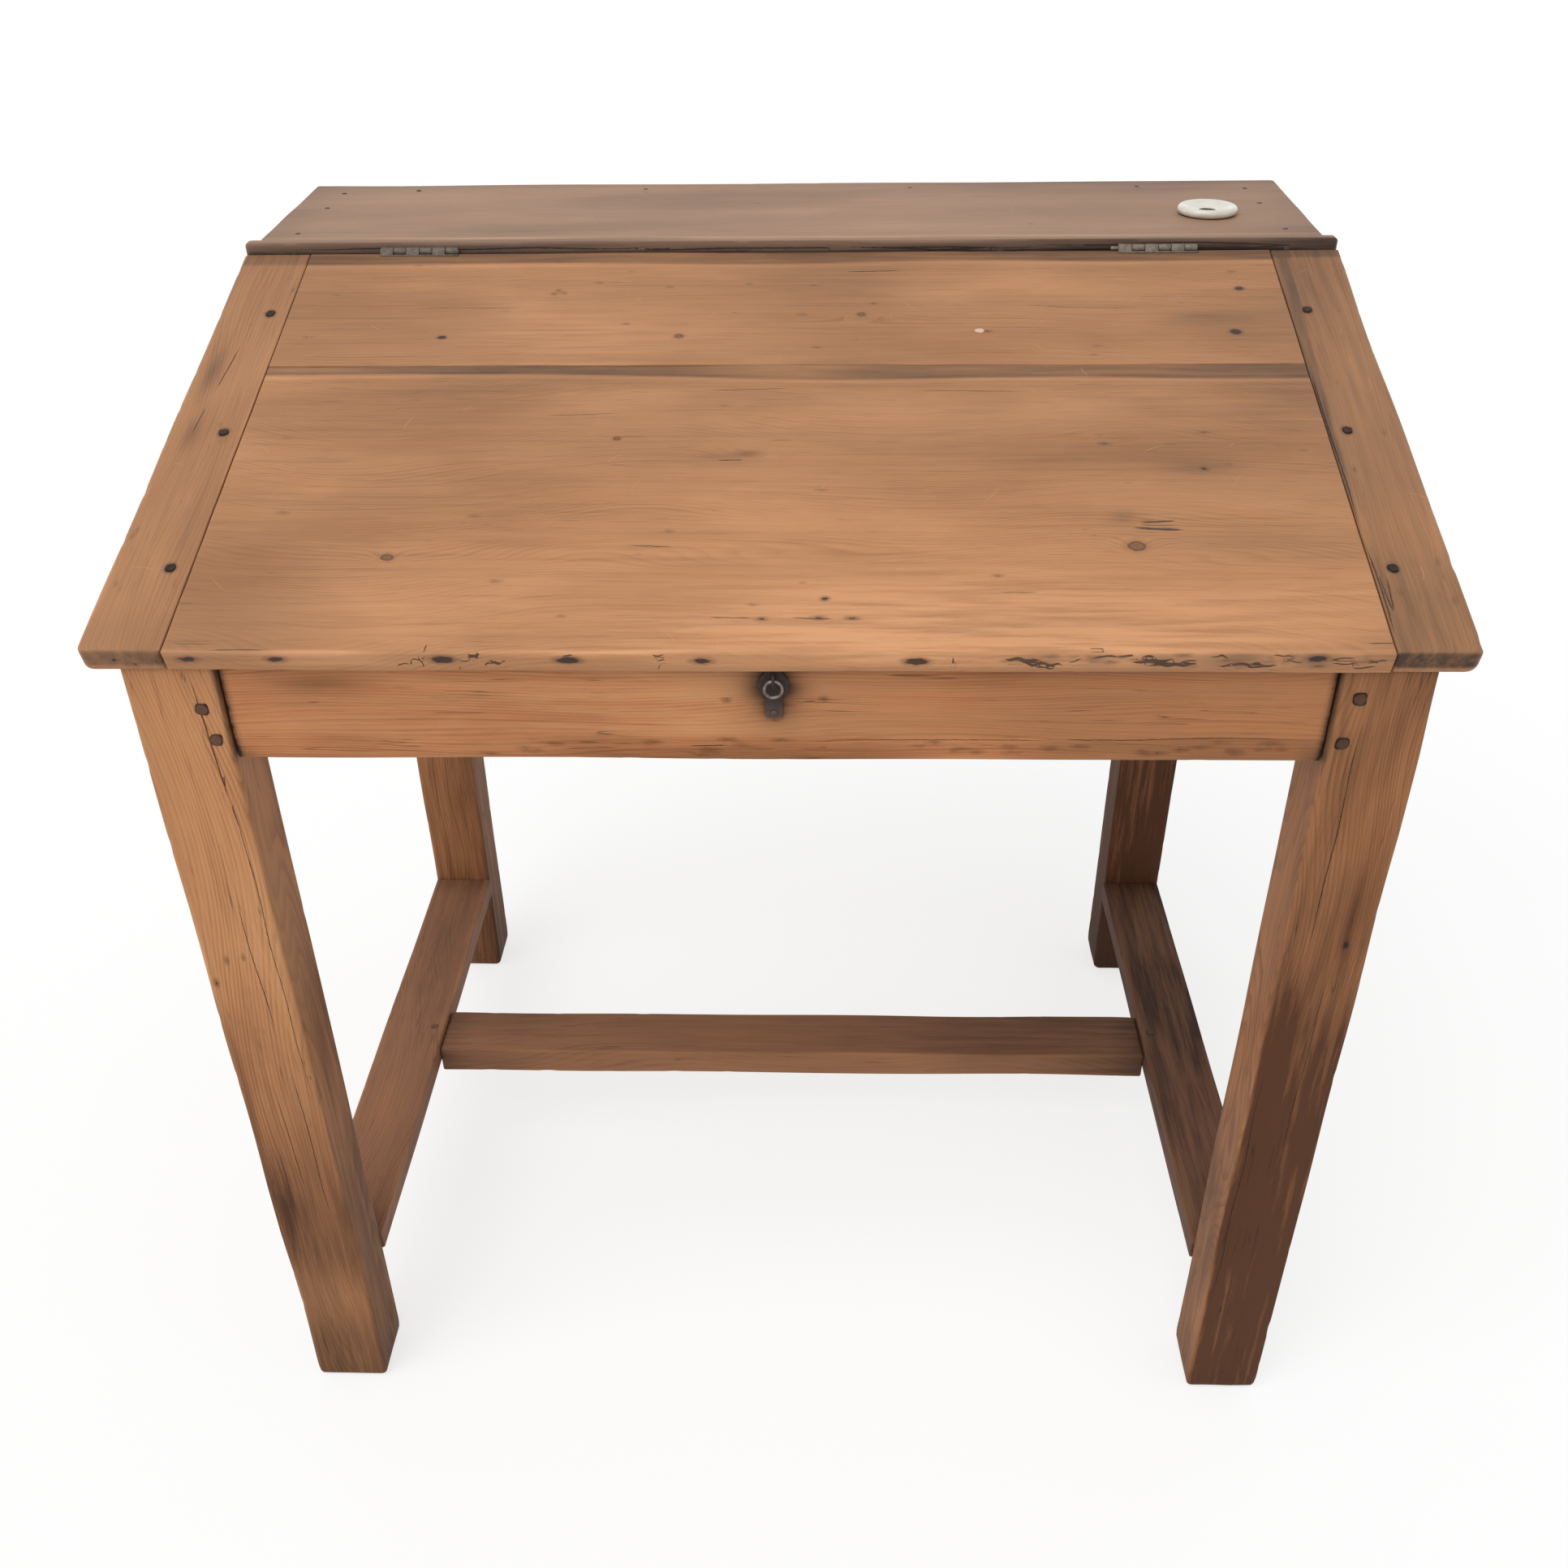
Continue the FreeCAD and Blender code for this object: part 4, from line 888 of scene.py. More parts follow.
class DeskColours(PropertyGroup):
    """Colours of the desk's finishes."""

    lid_early: colour_setting("Lid early wood", "Pale part of a ring on the lid", 188, 134, 90)
    lid_late: colour_setting("Lid late wood", "Dark part of a ring on the lid", 149, 98, 61)
    lid_stain: colour_setting("Lid stain", "Hand grease and dirt on the lid", 100, 74, 55)
    lid_pale: colour_setting("Lid wear", "Rubbed wood and scratches on the lid", 219, 159, 113)
    frame_early: colour_setting("Frame early wood", "Pale part of a ring on legs and panels", 198, 138, 92)
    frame_late: colour_setting("Frame late wood", "Dark part of a ring on legs and panels", 138, 87, 54)
    # The frame's stain also lays painted shade on the front left leg's inner face and along the apron's lower
    # edge.
    frame_stain: colour_setting("Frame stain", "Old finish left on legs and apron", 84, 51, 30)
    frame_pale: colour_setting("Frame wear", "Rubbed wood on legs and apron", 207, 154, 107)
    apron_early: colour_setting("Apron early wood", "Pale part of a ring on the apron", 199, 132, 86)
    apron_late: colour_setting("Apron late wood", "Dark part of a ring on the apron", 139, 83, 50)
    shelf_early: colour_setting("Shelf early wood", "Pale part of a ring on the shelf", 166, 130, 104)
    shelf_late: colour_setting("Shelf late wood", "Dark part of a ring on the shelf", 137, 106, 85)
    shelf_stain: colour_setting("Shelf stain", "Dirt on the shelf and its strip", 92, 74, 66)
    shelf_pale: colour_setting("Shelf wear", "Rubbed wood on the shelf", 188, 152, 122)
    low_early: colour_setting("Stretcher early wood", "Pale part of a ring on the stretchers", 160, 114, 85)
    low_late: colour_setting("Stretcher late wood", "Dark part of a ring on the stretchers", 108, 74, 54)
    low_stain: colour_setting("Stretcher stain", "Old finish and foot dirt low down", 58, 39, 30)
    low_pale: colour_setting("Stretcher wear", "Wood rubbed by feet", 177, 126, 87)
    inner_early: colour_setting("Inside early wood", "Pale part of a ring inside the box", 190, 146, 104)
    inner_late: colour_setting("Inside late wood", "Dark part of a ring inside the box", 148, 104, 70)
    peg_early: colour_setting("Peg early wood", "Pale part of a peg's end grain", 112, 79, 58)
    peg_late: colour_setting("Peg late wood", "Dark part of a peg's end grain", 66, 45, 34)
    hinge_bright: colour_setting("Hinge bright steel", "Rubbed steel of the hinges", 134, 121, 107)
    hinge_dull: colour_setting("Hinge dull steel", "Tarnish on the hinges", 115, 102, 90)
    hinge_rust: colour_setting("Hinge rust", "Brown specks on the hinges", 100, 85, 73)
    ring_bright: colour_setting("Ring bright steel", "Rubbed steel of the ring", 140, 128, 119)
    ring_dull: colour_setting("Ring dull steel", "Tarnish on the ring", 92, 80, 74)
    iron_bright: colour_setting("Iron bright", "Rubbed iron of the pull", 66, 54, 48)
    iron_dull: colour_setting("Iron dull", "Blackened iron of the pull", 46, 37, 33)
    iron_worn: colour_setting("Iron wear", "Brown iron at the plate's foot", 92, 72, 61)
    nail_bright: colour_setting("Nail bright", "Rubbed iron of the nails", 106, 84, 71)
    nail_dull: colour_setting("Nail dull", "Brown iron of the nails", 80, 62, 53)
    rust: colour_setting("Rust", "Rust on steel and iron", 84, 58, 44)
    glaze_white: colour_setting("Glaze white", "Clear part of the inkwell's glaze", 224, 221, 209)
    glaze_cream: colour_setting("Glaze cream", "Yellowed part of the inkwell's glaze", 213, 206, 191)
    # The dirt colour also paints the shade inside the inkwell's cup.
    glaze_dirt: colour_setting("Glaze dirt", "Ink and dirt on the inkwell", 62, 52, 45)
    floor: colour_setting("Floor", "The pale floor under the desk", 243, 243, 243)


class DeskWear(PropertyGroup):
    """How far the boards are worn and how closely they are divided."""

    arris: length_setting("Arris", "Usual rounding of a worn edge", 1.3 * MM)
    leg_arris: length_setting("Leg arris", "Rounding of a leg's edges", 1.9 * MM)
    foot_round: length_setting("Foot rounding", "Rounding under a foot", 7.5 * MM)
    shrink: length_setting("Shrinkage", "Wood lost from each face of a board", 0.3 * MM)
    joint_gap: length_setting("Joint gap", "Opening at each end of a shrunken board", 0.35 * MM)
    dent: length_setting("Dents", "Unevenness of a board's faces", 0.12 * MM)
    lid_step: length_setting("Lid step", "Division of the lid's boards", 2.0 * MM)
    fine: length_setting("Fine step", "Division of a face that shows", 2.5 * MM)
    coarse: length_setting("Coarse step", "Division of a face that is seldom seen", 8.0 * MM)
    peg_stand: length_setting("Peg stand", "Pegs proud of their board", 0.35 * MM)
    nail_stand: length_setting("Nail stand", "Nail heads proud of their board", 0.15 * MM)


class DeskStage(PropertyGroup):
    """Floor, light and camera."""

    floor_size: length_setting("Floor size", "Side of the floor", 80.0)
    sky: FloatProperty(name="Sky", description="Level of the even light from all round", default=0.62)
    lamp: FloatProperty(name="Lamp", description="Level of the soft lamp", default=1.35)
    lamp_spread: angle_setting("Lamp spread", "How soft the lamp is", math.radians(50.0))
    camera_place: FloatVectorProperty(
        name="Camera place", description="Where the camera stands", subtype="XYZ", unit="LENGTH",
        default=(0.0338, -1.265, 1.223),
    )
    camera_yaw: angle_setting("Yaw", "Turn to the right", -0.0320)
    camera_pitch: angle_setting("Pitch", "Tilt upwards", -0.6198)
    camera_roll: angle_setting("Roll", "Roll of the camera", -0.0127)
    focal_pixels: pixel_setting("Focal length", "In pixels of the picture", 1925.4)
    centre_pixel: FloatVectorProperty(
        name="Optical centre", description="Pixel that the camera points at", size=2,
        default=(963.85, 1100.0),
    )
    picture_pixels: pixel_setting("Picture", "Pixels along a side of the picture", 1932.0)


# Wooden pieces


def faces_between(first, second, axis):
    """Where a board that is tenoned between two others shows: from face to face along its axis."""
    return spans(first, [axis])[1][0], spans(second, [axis])[0][0]


def cut(node, axes, steps, arris, trim=(0.0, 0.0, 0.0), between=None, sloped=None, tops=None, **shape):
    """A board in place of a CAD node, drawn in by the wood that has gone from its ends and faces.

    It shows between two other nodes where it is tenoned into them. One axis may end at the lid's
    slope, at half the board's depth, and the upper reach along an axis may be given.
    """
    low, high = spans(node, axes)
    if between:
        low[0], high[0] = faces_between(*between, axes[0])
    if sloped is not None:
        high[sloped] -= SLOPE * (high[2] - low[2]) / 2.0
    for number, reach in (tops or {}).items():
        high[number] = reach
    return Board(axes, low + np.array(trim), high - np.array(trim), SEEDS[node], steps, arris, **shape)


class DESK_OT_legs(Operator):
    """Four square legs with long cracks, the front pair cut to the lid's slope"""

    bl_idname = "desk.legs"
    bl_label = "Legs"

    # Height of the worn foot, how far it draws in at its sides and back, and the depth of the sloped top.
    FOOT = 20.0 * MM
    OUTER, INNER, REAR = 4.5 * MM, 2.0 * MM, 5.0 * MM
    TOP_CUT = 80.0 * MM

    def execute(self, context):
        wear = context.scene.desk_wear
        steps = (wear.fine, wear.fine, 2.0 * wear.fine, wear.fine)
        trim = (0.0, wear.shrink, wear.shrink)
        for row, side in [(row, side) for row in ROWS for side in SIDES]:
            node = f"{row}_{side}_leg"
            leg = cut(
                node, (UP, LEFT, FRONT), steps, wear.leg_arris, trim,
                sloped=0 if row == "front" else None, ends=(wear.foot_round, wear.arris), wander=0.45,
                corners=(1.2, 2.0, 1.0, 1.0) if side == "left" else (2.0, 1.2, 1.0, 1.0),
            )
            self.wear_foot(leg, 1.0 if side == "left" else -1.0)
            if row == "front":
                rise = ease(leg.local[:, 0], leg.size[0] / 2.0 - self.TOP_CUT, leg.size[0] / 2.0)
                leg.world[:, 2] -= SLOPE * leg.local[:, 2] * rise
            leg.dent(1.5 * wear.dent).weather(0.35, 0.16, 0.1)
            self.age(leg, row, side)
            add_boards(node, [leg], "frame_pine")
        return {"FINISHED"}

    def wear_foot(self, leg, way):
        """Draws the foot in along a quarter ellipse, most at the outer side and the back."""
        rise = np.clip(leg.world[:, 2] / self.FOOT, 0.0, 1.0)
        inset = 1.0 - np.sqrt(1.0 - (1.0 - rise) ** 2)
        across, depth = leg.local[:, 1] / leg.size[1], leg.local[:, 2] / leg.size[2]
        outer = way * across
        shift = np.where(outer > 0.0, 2.0 * self.OUTER * outer, 2.0 * self.INNER * outer) * inset
        leg.world -= (way * shift)[:, None] * leg.axes[1]
        leg.world -= (2.0 * self.REAR * np.minimum(depth, 0.0) * inset)[:, None] * leg.axes[2]

    def age(self, leg, row, side):
        """Tight upright rings, cracks at the pegs, old finish that darkens the right and the feet, and
        painted shade and light on the front legs' inner faces.
        """
        x, z = leg.world.T[[0, 2]] / MM
        reach = np.abs(x) - np.abs(x).min()
        inner = ease(reach, 3.0, 0.5)
        # Inner faces: painted shade on the front left leg's, which faces away from the lamp, painted light on
        # the front right leg's, which faces it, and darker on the rear legs'.
        leg.dark += {"front_left": 0.24, "front_right": -0.16}.get(f"{row}_{side}", 0.18) * inner
        if row == "front":
            leg.grime_and_shade += 0.6 * ease(reach, 3.5, 1.0) * ease(z, 668, 676)
            age_front = self.age_left if side == "left" else self.age_right
            age_front(leg, x, z, inner)
        else:
            leg.grow((150.0 if side == "left" else -160.0, -60.0), 2.8, 0.005)
            leg.dark += 0.42 + 0.3 * ease(z, 300, 0) + (0.5 if side == "right" else 0.0)
            leg.grime_and_shade += (0.4 if side == "right" else 0.15) * ease(z, 160, 20)

    @staticmethod
    def age_left(leg, x, z, inner):
        """The front left leg: cracked along its inner half, pale above and dark at the foot."""
        leg.grow((190.0, -60.0), 2.6, 0.004)
        face = on_front(leg)
        leg.cracks(face, (
            (-391.5, 752, -381.5, 600, 0.3, 0.7), (-382, 660, -380, 340, 0.5, 0.45),
            (-398, 560, -396, 420, 0.4, 0.5), (-391, 400, -388, 200, 0.5, 0.5),
            (-408, 370, -405, 240, 0.4, 0.45), (-419, 300, -418, 220, 0.3, 0.4),
        ))
        leg.spots(face, ((-431, 475, 1.2), (-418, 497, 0.8), (-405, 500, 0.6)), 2.0)
        leg.pale += 0.2 * ease(z, 340, 500)
        leg.dark += 0.66 * ease(z, 520, 140) + 0.38 * bell(x, -425, 14) * bell(z, 235, 50)
        leg.dark += inner * (0.16 * bell(z, 450, 100) - 0.34 * ease(z, 440, 300))
        leg.dark -= 0.34 * (1.0 - inner) * bell(z, 110, 45)
        rim = ease(x, -424, -434) * ease(z, 240, 300) * ease(z, 460, 400)
        leg.dark += 0.2 * rim
        leg.grime_and_shade += 0.1 * rim + 0.24 * ease(z, 360, 80)

    @staticmethod
    def age_right(leg, x, z, inner):
        """The front right leg: darker all over, most below the middle and along two streaks."""
        leg.grow((-200.0, -50.0), 2.6, 0.004)
        face = on_front(leg)
        leg.cracks(face, (
            (393.5, 720, 392.5, 500, 0.4, 0.5), (381, 400, 379, 100, 0.5, 0.5),
            (411, 500, 409, 280, 0.4, 0.4),
        ))
        leg.spots(face, ((419, 519, 2.0),), 2.0)
        leg.dark += 0.54 + (1.0 - inner) * (0.52 * ease(z, 520, 320) - 0.2 * bell(z, 620, 60))
        leg.dark += inner * (0.18 * ease(z, 450, 250) - 0.12 * ease(z, 600, 520) + 0.2 * ease(z, 100, 30))
        leg.dark += 0.3 * bell(x, 412, 5) * ease(z, 220, 120) + 0.3 * bell(x, 420, 14) * bell(z, 545, 40)
        leg.dark += 0.45 * bell(x, 388, 10) * ease(z, 140, 220) * ease(z, 540, 440)


class DESK_OT_apron(Operator):
    """Front board between the legs, stained round the pull, darker along its lower edge with stain and
    painted shade, and with a painted shadow under the lid
    """

    bl_idname = "desk.apron"
    bl_label = "Apron"

    SPECKS, SPECK_SEED = 34, 127

    def execute(self, context):
        wear = context.scene.desk_wear
        steps = (wear.fine, wear.fine, wear.coarse, wear.fine)
        trim = (2.0 * wear.joint_gap, 0.0, wear.shrink)
        legs = ("front_left_leg", "front_right_leg")
        apron = cut("front_apron", (RIGHT, UP, FRONT), steps, wear.arris, trim, legs, sloped=1)
        apron.world[:, 2] -= SLOPE * apron.local[:, 2] * ease(apron.local[:, 1], 0.0, apron.size[1] / 2.0)
        apron.dent(wear.dent).weather(0.3, 0.2, 0.0).grow((-170.0, -60.0), 2.5, 0.003)
        self.age(apron)
        add_boards("front_apron", [apron], "frame_pine", finish="apron_pine")
        return {"FINISHED"}

    def age(self, apron):
        """Nail marks, a band of specks low down over painted shade for a bevel, dark ends, a paler middle,
        grease round the pull and a painted shadow under the lid.
        """
        plan = x, z = apron.world.T[[0, 2]] / MM
        face = on_front(apron)
        apron.spots(face, ((-32, 719, 1.0), (33.5, 720, 1.0), (0.7, 704.5, 0.7)), 1.6)
        rng = np.random.default_rng(self.SPECK_SEED)
        places = rng.uniform((-200, 676), (360, 690), (self.SPECKS, 2))
        apron.spots(face, np.column_stack([places, rng.uniform(0.0, 0.5, self.SPECKS)]), 4.0)
        apron.cracks(face, (
            (20, 687.2, 200, 689.5, 0.5, 0.4), (160, 689.5, 370, 690.5, 0.5, 0.4),
            (-60, 684, -30, 684.2, 0.2, 0.5),
        ))
        # Below a line that climbs from left to right the apron is darker: painted shade that stands in for a
        # bevel along its lower edge.
        band = 677.5 + 12.0 * ease(x, -320, 330)
        above = ease(z, 688, 691)
        apron.dark += 0.16 * ease(z, band + 1.5, band) + 0.27 * ease(x, 80, 230)
        apron.dark += (1.0 - above) * (0.18 * bell(x, -80, 110) - 0.2 * bell(x, 140, 45))
        apron.dark += 0.11 * above * bell(x, 140, 80)
        apron.pale += 0.36 * bell(x, -20, 150) * ease(z, 684, 696)
        # A painted shadow along the top, under the lid's front edge, and dark joints at both ends.
        apron.grime_and_shade += 0.45 * ease(z, 741, 744) + 0.8 * ease(np.abs(x), 367, 371.5)
        apron.grime_and_shade += 0.4 * ease(np.abs(x), 350, 371) * ease(z, 690, 675)
        blot(apron.dark, plan, ((0.5, -306, 40, 730, 9), (0.8, 0, 19, 727, 21)))
        blot(apron.grime_and_shade, plan, ((0.95, 0, 12.5, 734, 14), (0.75, 0, 8.5, 713, 8)))


class DESK_OT_panels(Operator):
    """Side and back boards of the box"""

    bl_idname = "desk.panels"
    bl_label = "Panels"

    CLEAR = 0.2 * MM

    def execute(self, context):
        wear = context.scene.desk_wear
        steps = (2.0 * wear.fine, 2.0 * wear.fine, wear.coarse, wear.fine)
        for side, out, along, rows in (("left", LEFT, FRONT, ROWS[::-1]), ("right", RIGHT, BACK, ROWS)):
            node = f"{side}_side_panel"
            legs = [f"{row}_{side}_leg" for row in rows]
            trim = (wear.joint_gap, 0.0, wear.shrink)
            panel = cut(node, (along, UP, out), steps, wear.arris, trim, legs)
            bottom = panel.low[1]
            share = (panel.world[:, 2] - bottom) / panel.size[1]
            panel.world[:, 2] = bottom + share * (self.upper_edge(panel.world[:, 1]) - bottom)
            panel.dent(wear.dent).weather(0.3, 0.25, 0.3)
            outside = (panel.world @ out).max() * out[0]
            panel.grow((-30.0, -110.0), 3.6, 0.006, (((outside, 0.09, 0.78), 9.0, 5.0),))
            panel.dark += 0.3
            add_boards(node, [panel], "frame_pine")
        trim = (wear.joint_gap, wear.shrink, wear.shrink)
        legs = ("rear_right_leg", "rear_left_leg")
        panel = cut("back_panel", (LEFT, UP, BACK), steps, wear.arris, trim, legs)
        panel.dent(wear.dent).weather(0.25, 0.14, 0.3)
        rear = panel.world[:, 1].max()
        knots = ((-0.19, rear, 0.77), 10.0, 6.0), ((0.22, rear, 0.81), 7.0, 4.0)
        panel.grow((20.0, -120.0), 3.6, 0.008, knots)
        panel.dark += 0.4
        add_boards("back_panel", [panel], "frame_pine")
        return {"FINISHED"}

    def upper_edge(self, y):
        """Height of a side panel: along the lid's underside, then a step up under the strip and the shelf."""
        leg = node_points("front_left_leg")
        front = leg[:, 1].min()
        top = leg[leg[:, 1] < front + MM, 2].max()
        rail_low, rail_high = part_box("hinge_rail")
        slope = top + SLOPE * (y - front)
        stepped = np.where(y < rail_high.y, rail_low.z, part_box("shelf")[0].z)
        return np.where(y < LID_REAR[1], slope, stepped) - self.CLEAR


class DESK_OT_stretchers(Operator):
    """Two flat side stretchers and the cross stretcher that is tenoned into them"""

    bl_idname = "desk.stretchers"
    bl_label = "Stretchers"

    def execute(self, context):
        wear = context.scene.desk_wear
        steps = (wear.fine, wear.fine, 2.0 * wear.fine, wear.fine)
        trim = (0.0, wear.shrink, wear.shrink)
        bars = [f"{side}_side_stretcher" for side in SIDES]
        for node, side in zip(bars, SIDES):
            legs = [f"{row}_{side}_leg" for row in ROWS]
            bar = cut(node, (BACK, LEFT, UP), steps, wear.arris, trim, legs)
            bar.dent(1.3 * wear.dent).weather(0.5, 0.14, 0.25).grow((120.0, -60.0), 2.7, 0.005)
            y = bar.world[:, 1] / MM
            bar.dark += 0.1 + 0.2 * ease(y, -100, 250) if side == "left" else 0.6 + 0.13 * ease(y, -220, -80)
            add_boards(node, [bar], "stretcher_pine")
        bar = cut("cross_stretcher", (RIGHT, BACK, UP), steps, wear.leg_arris, trim, bars, wander=0.4)
        bar.dent(1.5 * wear.dent).weather(0.45, 0.16, 0.3).grow((-110.0, -50.0), 2.7, 0.005)
        face = ease(bar.local[:, 1] + bar.size[1] / 2.0, 3.0 * MM, 0.5 * MM)
        x = bar.world[:, 0] / MM
        bar.dark += 0.1 + 0.48 * ease(x, -200 + 320 * face, 380) + 0.2 * face * ease(x, -240, -340)
        bar.dark += 0.12 * face * bell(x, 30, 70)
        bar.pale += 0.36 * face * ease(x, 340, 240) * ease(x, -340, -220)
        add_boards("cross_stretcher", [bar], "stretcher_pine")
        return {"FINISHED"}


class DESK_OT_floor_boards(Operator):
    """Boards and bearers of the box's floor"""

    bl_idname = "desk.floor_boards"
    bl_label = "Box floor"

    # How far the notches stand clear of the legs, and where stations lie on both sides of a notch's edge.
    CLEAR = 0.5 * MM
    NOTCH_STATIONS = (-0.6 * MM, -0.3 * MM)

    def execute(self, context):
        wear = context.scene.desk_wear
        steps = (2.0 * wear.fine, 2.0 * wear.fine, wear.coarse, wear.fine)
        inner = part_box("front_right_leg")[0].x
        edges = [way * (inner + gap) for way in (-1.0, 1.0) for gap in self.NOTCH_STATIONS]
        for number, row in enumerate(("front", "middle", "rear")):
            node = f"floor_board_{row}"
            board = cut(node, (RIGHT, BACK, UP), steps, wear.arris, wander=0.4, extra=edges)
            if row != "middle":
                self.notch(board, row, inner + sum(self.NOTCH_STATIONS) / 2.0)
            board.dent(wear.dent).weather(0.3, 0.3, 0.2).grow((30.0 - 40.0 * number, -90.0), 3.8, 0.008)
            add_boards(node, [board], "inner_pine")
        for side in ("front", "back", "left", "right"):
            node = f"{side}_bearer"
            axes = (RIGHT, BACK, UP) if side in ("front", "back") else (BACK, LEFT, UP)
            strip = cut(node, axes, steps, wear.arris)
            add_boards(node, [strip.weather(0.3, 0.3, 0.2).grow((5.0, -40.0), 3.4)], "inner_pine")
        return {"FINISHED"}

    def notch(self, board, row, inner):
        """Draws the outer edge in beside the legs, so that the board stands clear of them."""
        leg_low, leg_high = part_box(f"{row}_right_leg")
        y = board.world[:, 1]
        start, stop = y.min(), y.max()
        if row == "front":
            moved = stop - (stop - y) * (stop - leg_high.y - self.CLEAR) / (stop - start)
        else:
            moved = start + (y - start) * (leg_low.y - self.CLEAR - start) / (stop - start)
        board.world[:, 1] = np.where(np.abs(board.world[:, 0]) > inner, moved, y)


class DESK_OT_shelf(Operator):
    """Rear shelf with the inkwell's hole, and the dark strip along its front edge"""

    bl_idname = "desk.shelf"
    bl_label = "Shelf and strip"

    CORNER = 5.0 * MM
    RAIL_END = 4.5 * MM
    BORE_DEPTH = 30.0 * MM
    BORE_SIDES = 96

    def execute(self, context):
        wear = context.scene.desk_wear
        self.shelf(wear)
        self.rail(wear)
        return {"FINISHED"}

    def shelf(self, wear):
        """The shelf, which narrows towards its front, with scratches and a dark right and rear."""
        points = node_points("shelf")
        narrow = points[points[:, 1] < points[:, 1].min() + MM, 0].max()
        shelf = cut(
            "shelf", (RIGHT, BACK, UP), (wear.fine, wear.fine, wear.coarse, wear.fine), wear.arris,
            (0.0, EDGE_GAP, wear.shrink), rounded=[(end, 1.0, self.CORNER) for end in (-1.0, 1.0)],
        )
        right, rear = shelf.high[:2]
        front = shelf.low[1]
        y = shelf.world[:, 1]
        shelf.world[:, 0] *= 1.0 - (1.0 - narrow / right) * (rear - y) / (rear - front)
        shelf.dent(wear.dent).weather(0.25, 0.16, 0.1).grow((220.0, -80.0), 3.0, 0.008)
        top = shelf.world[:, 2].max()
        marks = ((-137, 310), (326, 318), (-30, 262), (210, 175))
        shelf.spot([(across * MM, back * MM, top) for across, back in marks], 0.6, 1.5)
        shelf.scratches(14, 0.06, 0.9)
        x = shelf.world[:, 0] / MM
        shelf.pale += 0.5 * ease(y - front, 9.0 * MM, 1.0 * MM)
        shelf.dark += 0.16 * ease(x, 0, 400) + 0.2 * ease(rear - y, 30.0 * MM, 4.0 * MM)
        shelf.grime_and_shade += 0.12 * ease(x, -360, -450)
        self.bore(add_boards("shelf", [shelf], "shelf_pine"), top)

    def rail(self, wear):
        """The strip along the shelf's front edge, split lengthwise and dark below."""
        rail = cut(
            "hinge_rail", (RIGHT, UP, FRONT), (wear.fine,) * 4, 1.1 * wear.arris, (0.0, 0.0, EDGE_GAP),
            ends=(self.RAIL_END, self.RAIL_END), wander=0.5,
        )
        rail.dent(wear.dent).weather(0.35, 0.16, 0.0).grow((60.0, -30.0), 2.2, 0.002)
        face = ease(rail.size[2] / 2.0 - rail.local[:, 2], 2.5 * MM, 0.5 * MM)
        depth = (rail.size[1] / 2.0 - rail.local[:, 1]) / MM
        rail.cracks(on_front(rail), (
            (-440, 901.2, -100, 901.6, 0.5, 0.7), (-160, 900.4, 250, 901, 0.5, 0.8),
            (20, 897.2, 450, 896.8, 0.4, 0.7), (200, 903, 440, 902.2, 0.4, 0.7),
        ))
        right = ease(rail.world[:, 0] / MM, 0, 360)
        rail.dark += 0.2 + (0.28 + 0.16 * right) * face
        low_down = 0.24 * ease(depth, 1.0, 5.0) + 0.35 * ease(depth, 6.5, 8.5)
        rail.grime_and_shade += face * (0.05 + low_down + 0.36 * right)
        add_boards("hinge_rail", [rail], "shelf_pine")

    def bore(self, piece, top):
        """Cuts the inkwell's hole with a turned plug, and keeps the cut mesh."""
        low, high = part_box("inkwell")
        middle = np.array(((low.x + high.x) / 2.0, (low.y + high.y) / 2.0, 0.0))
        radius = np.linalg.norm(node_points("shelf")[:, :2] - middle[:2], axis=1).min()
        depth = self.BORE_DEPTH
        profile = ((0.0, -depth), (radius, -depth), (radius, depth), (0.0, depth))
        shape = turned(profile, middle + top * UP, UP, self.BORE_SIDES)
        plug = add_object("shelf_plug", build_mesh("shelf_plug", *shape))
        cutter = piece.modifiers.new("bore", "BOOLEAN")
        cutter.object = plug
        cutter.operation = "DIFFERENCE"
        cutter.solver = "EXACT"
        bpy.context.view_layer.update()
        graph = bpy.context.evaluated_depsgraph_get()
        holed = bpy.data.meshes.new_from_object(piece.evaluated_get(graph), depsgraph=graph)
        piece.modifiers.remove(cutter)
        piece.data = holed
        bpy.data.objects.remove(plug)


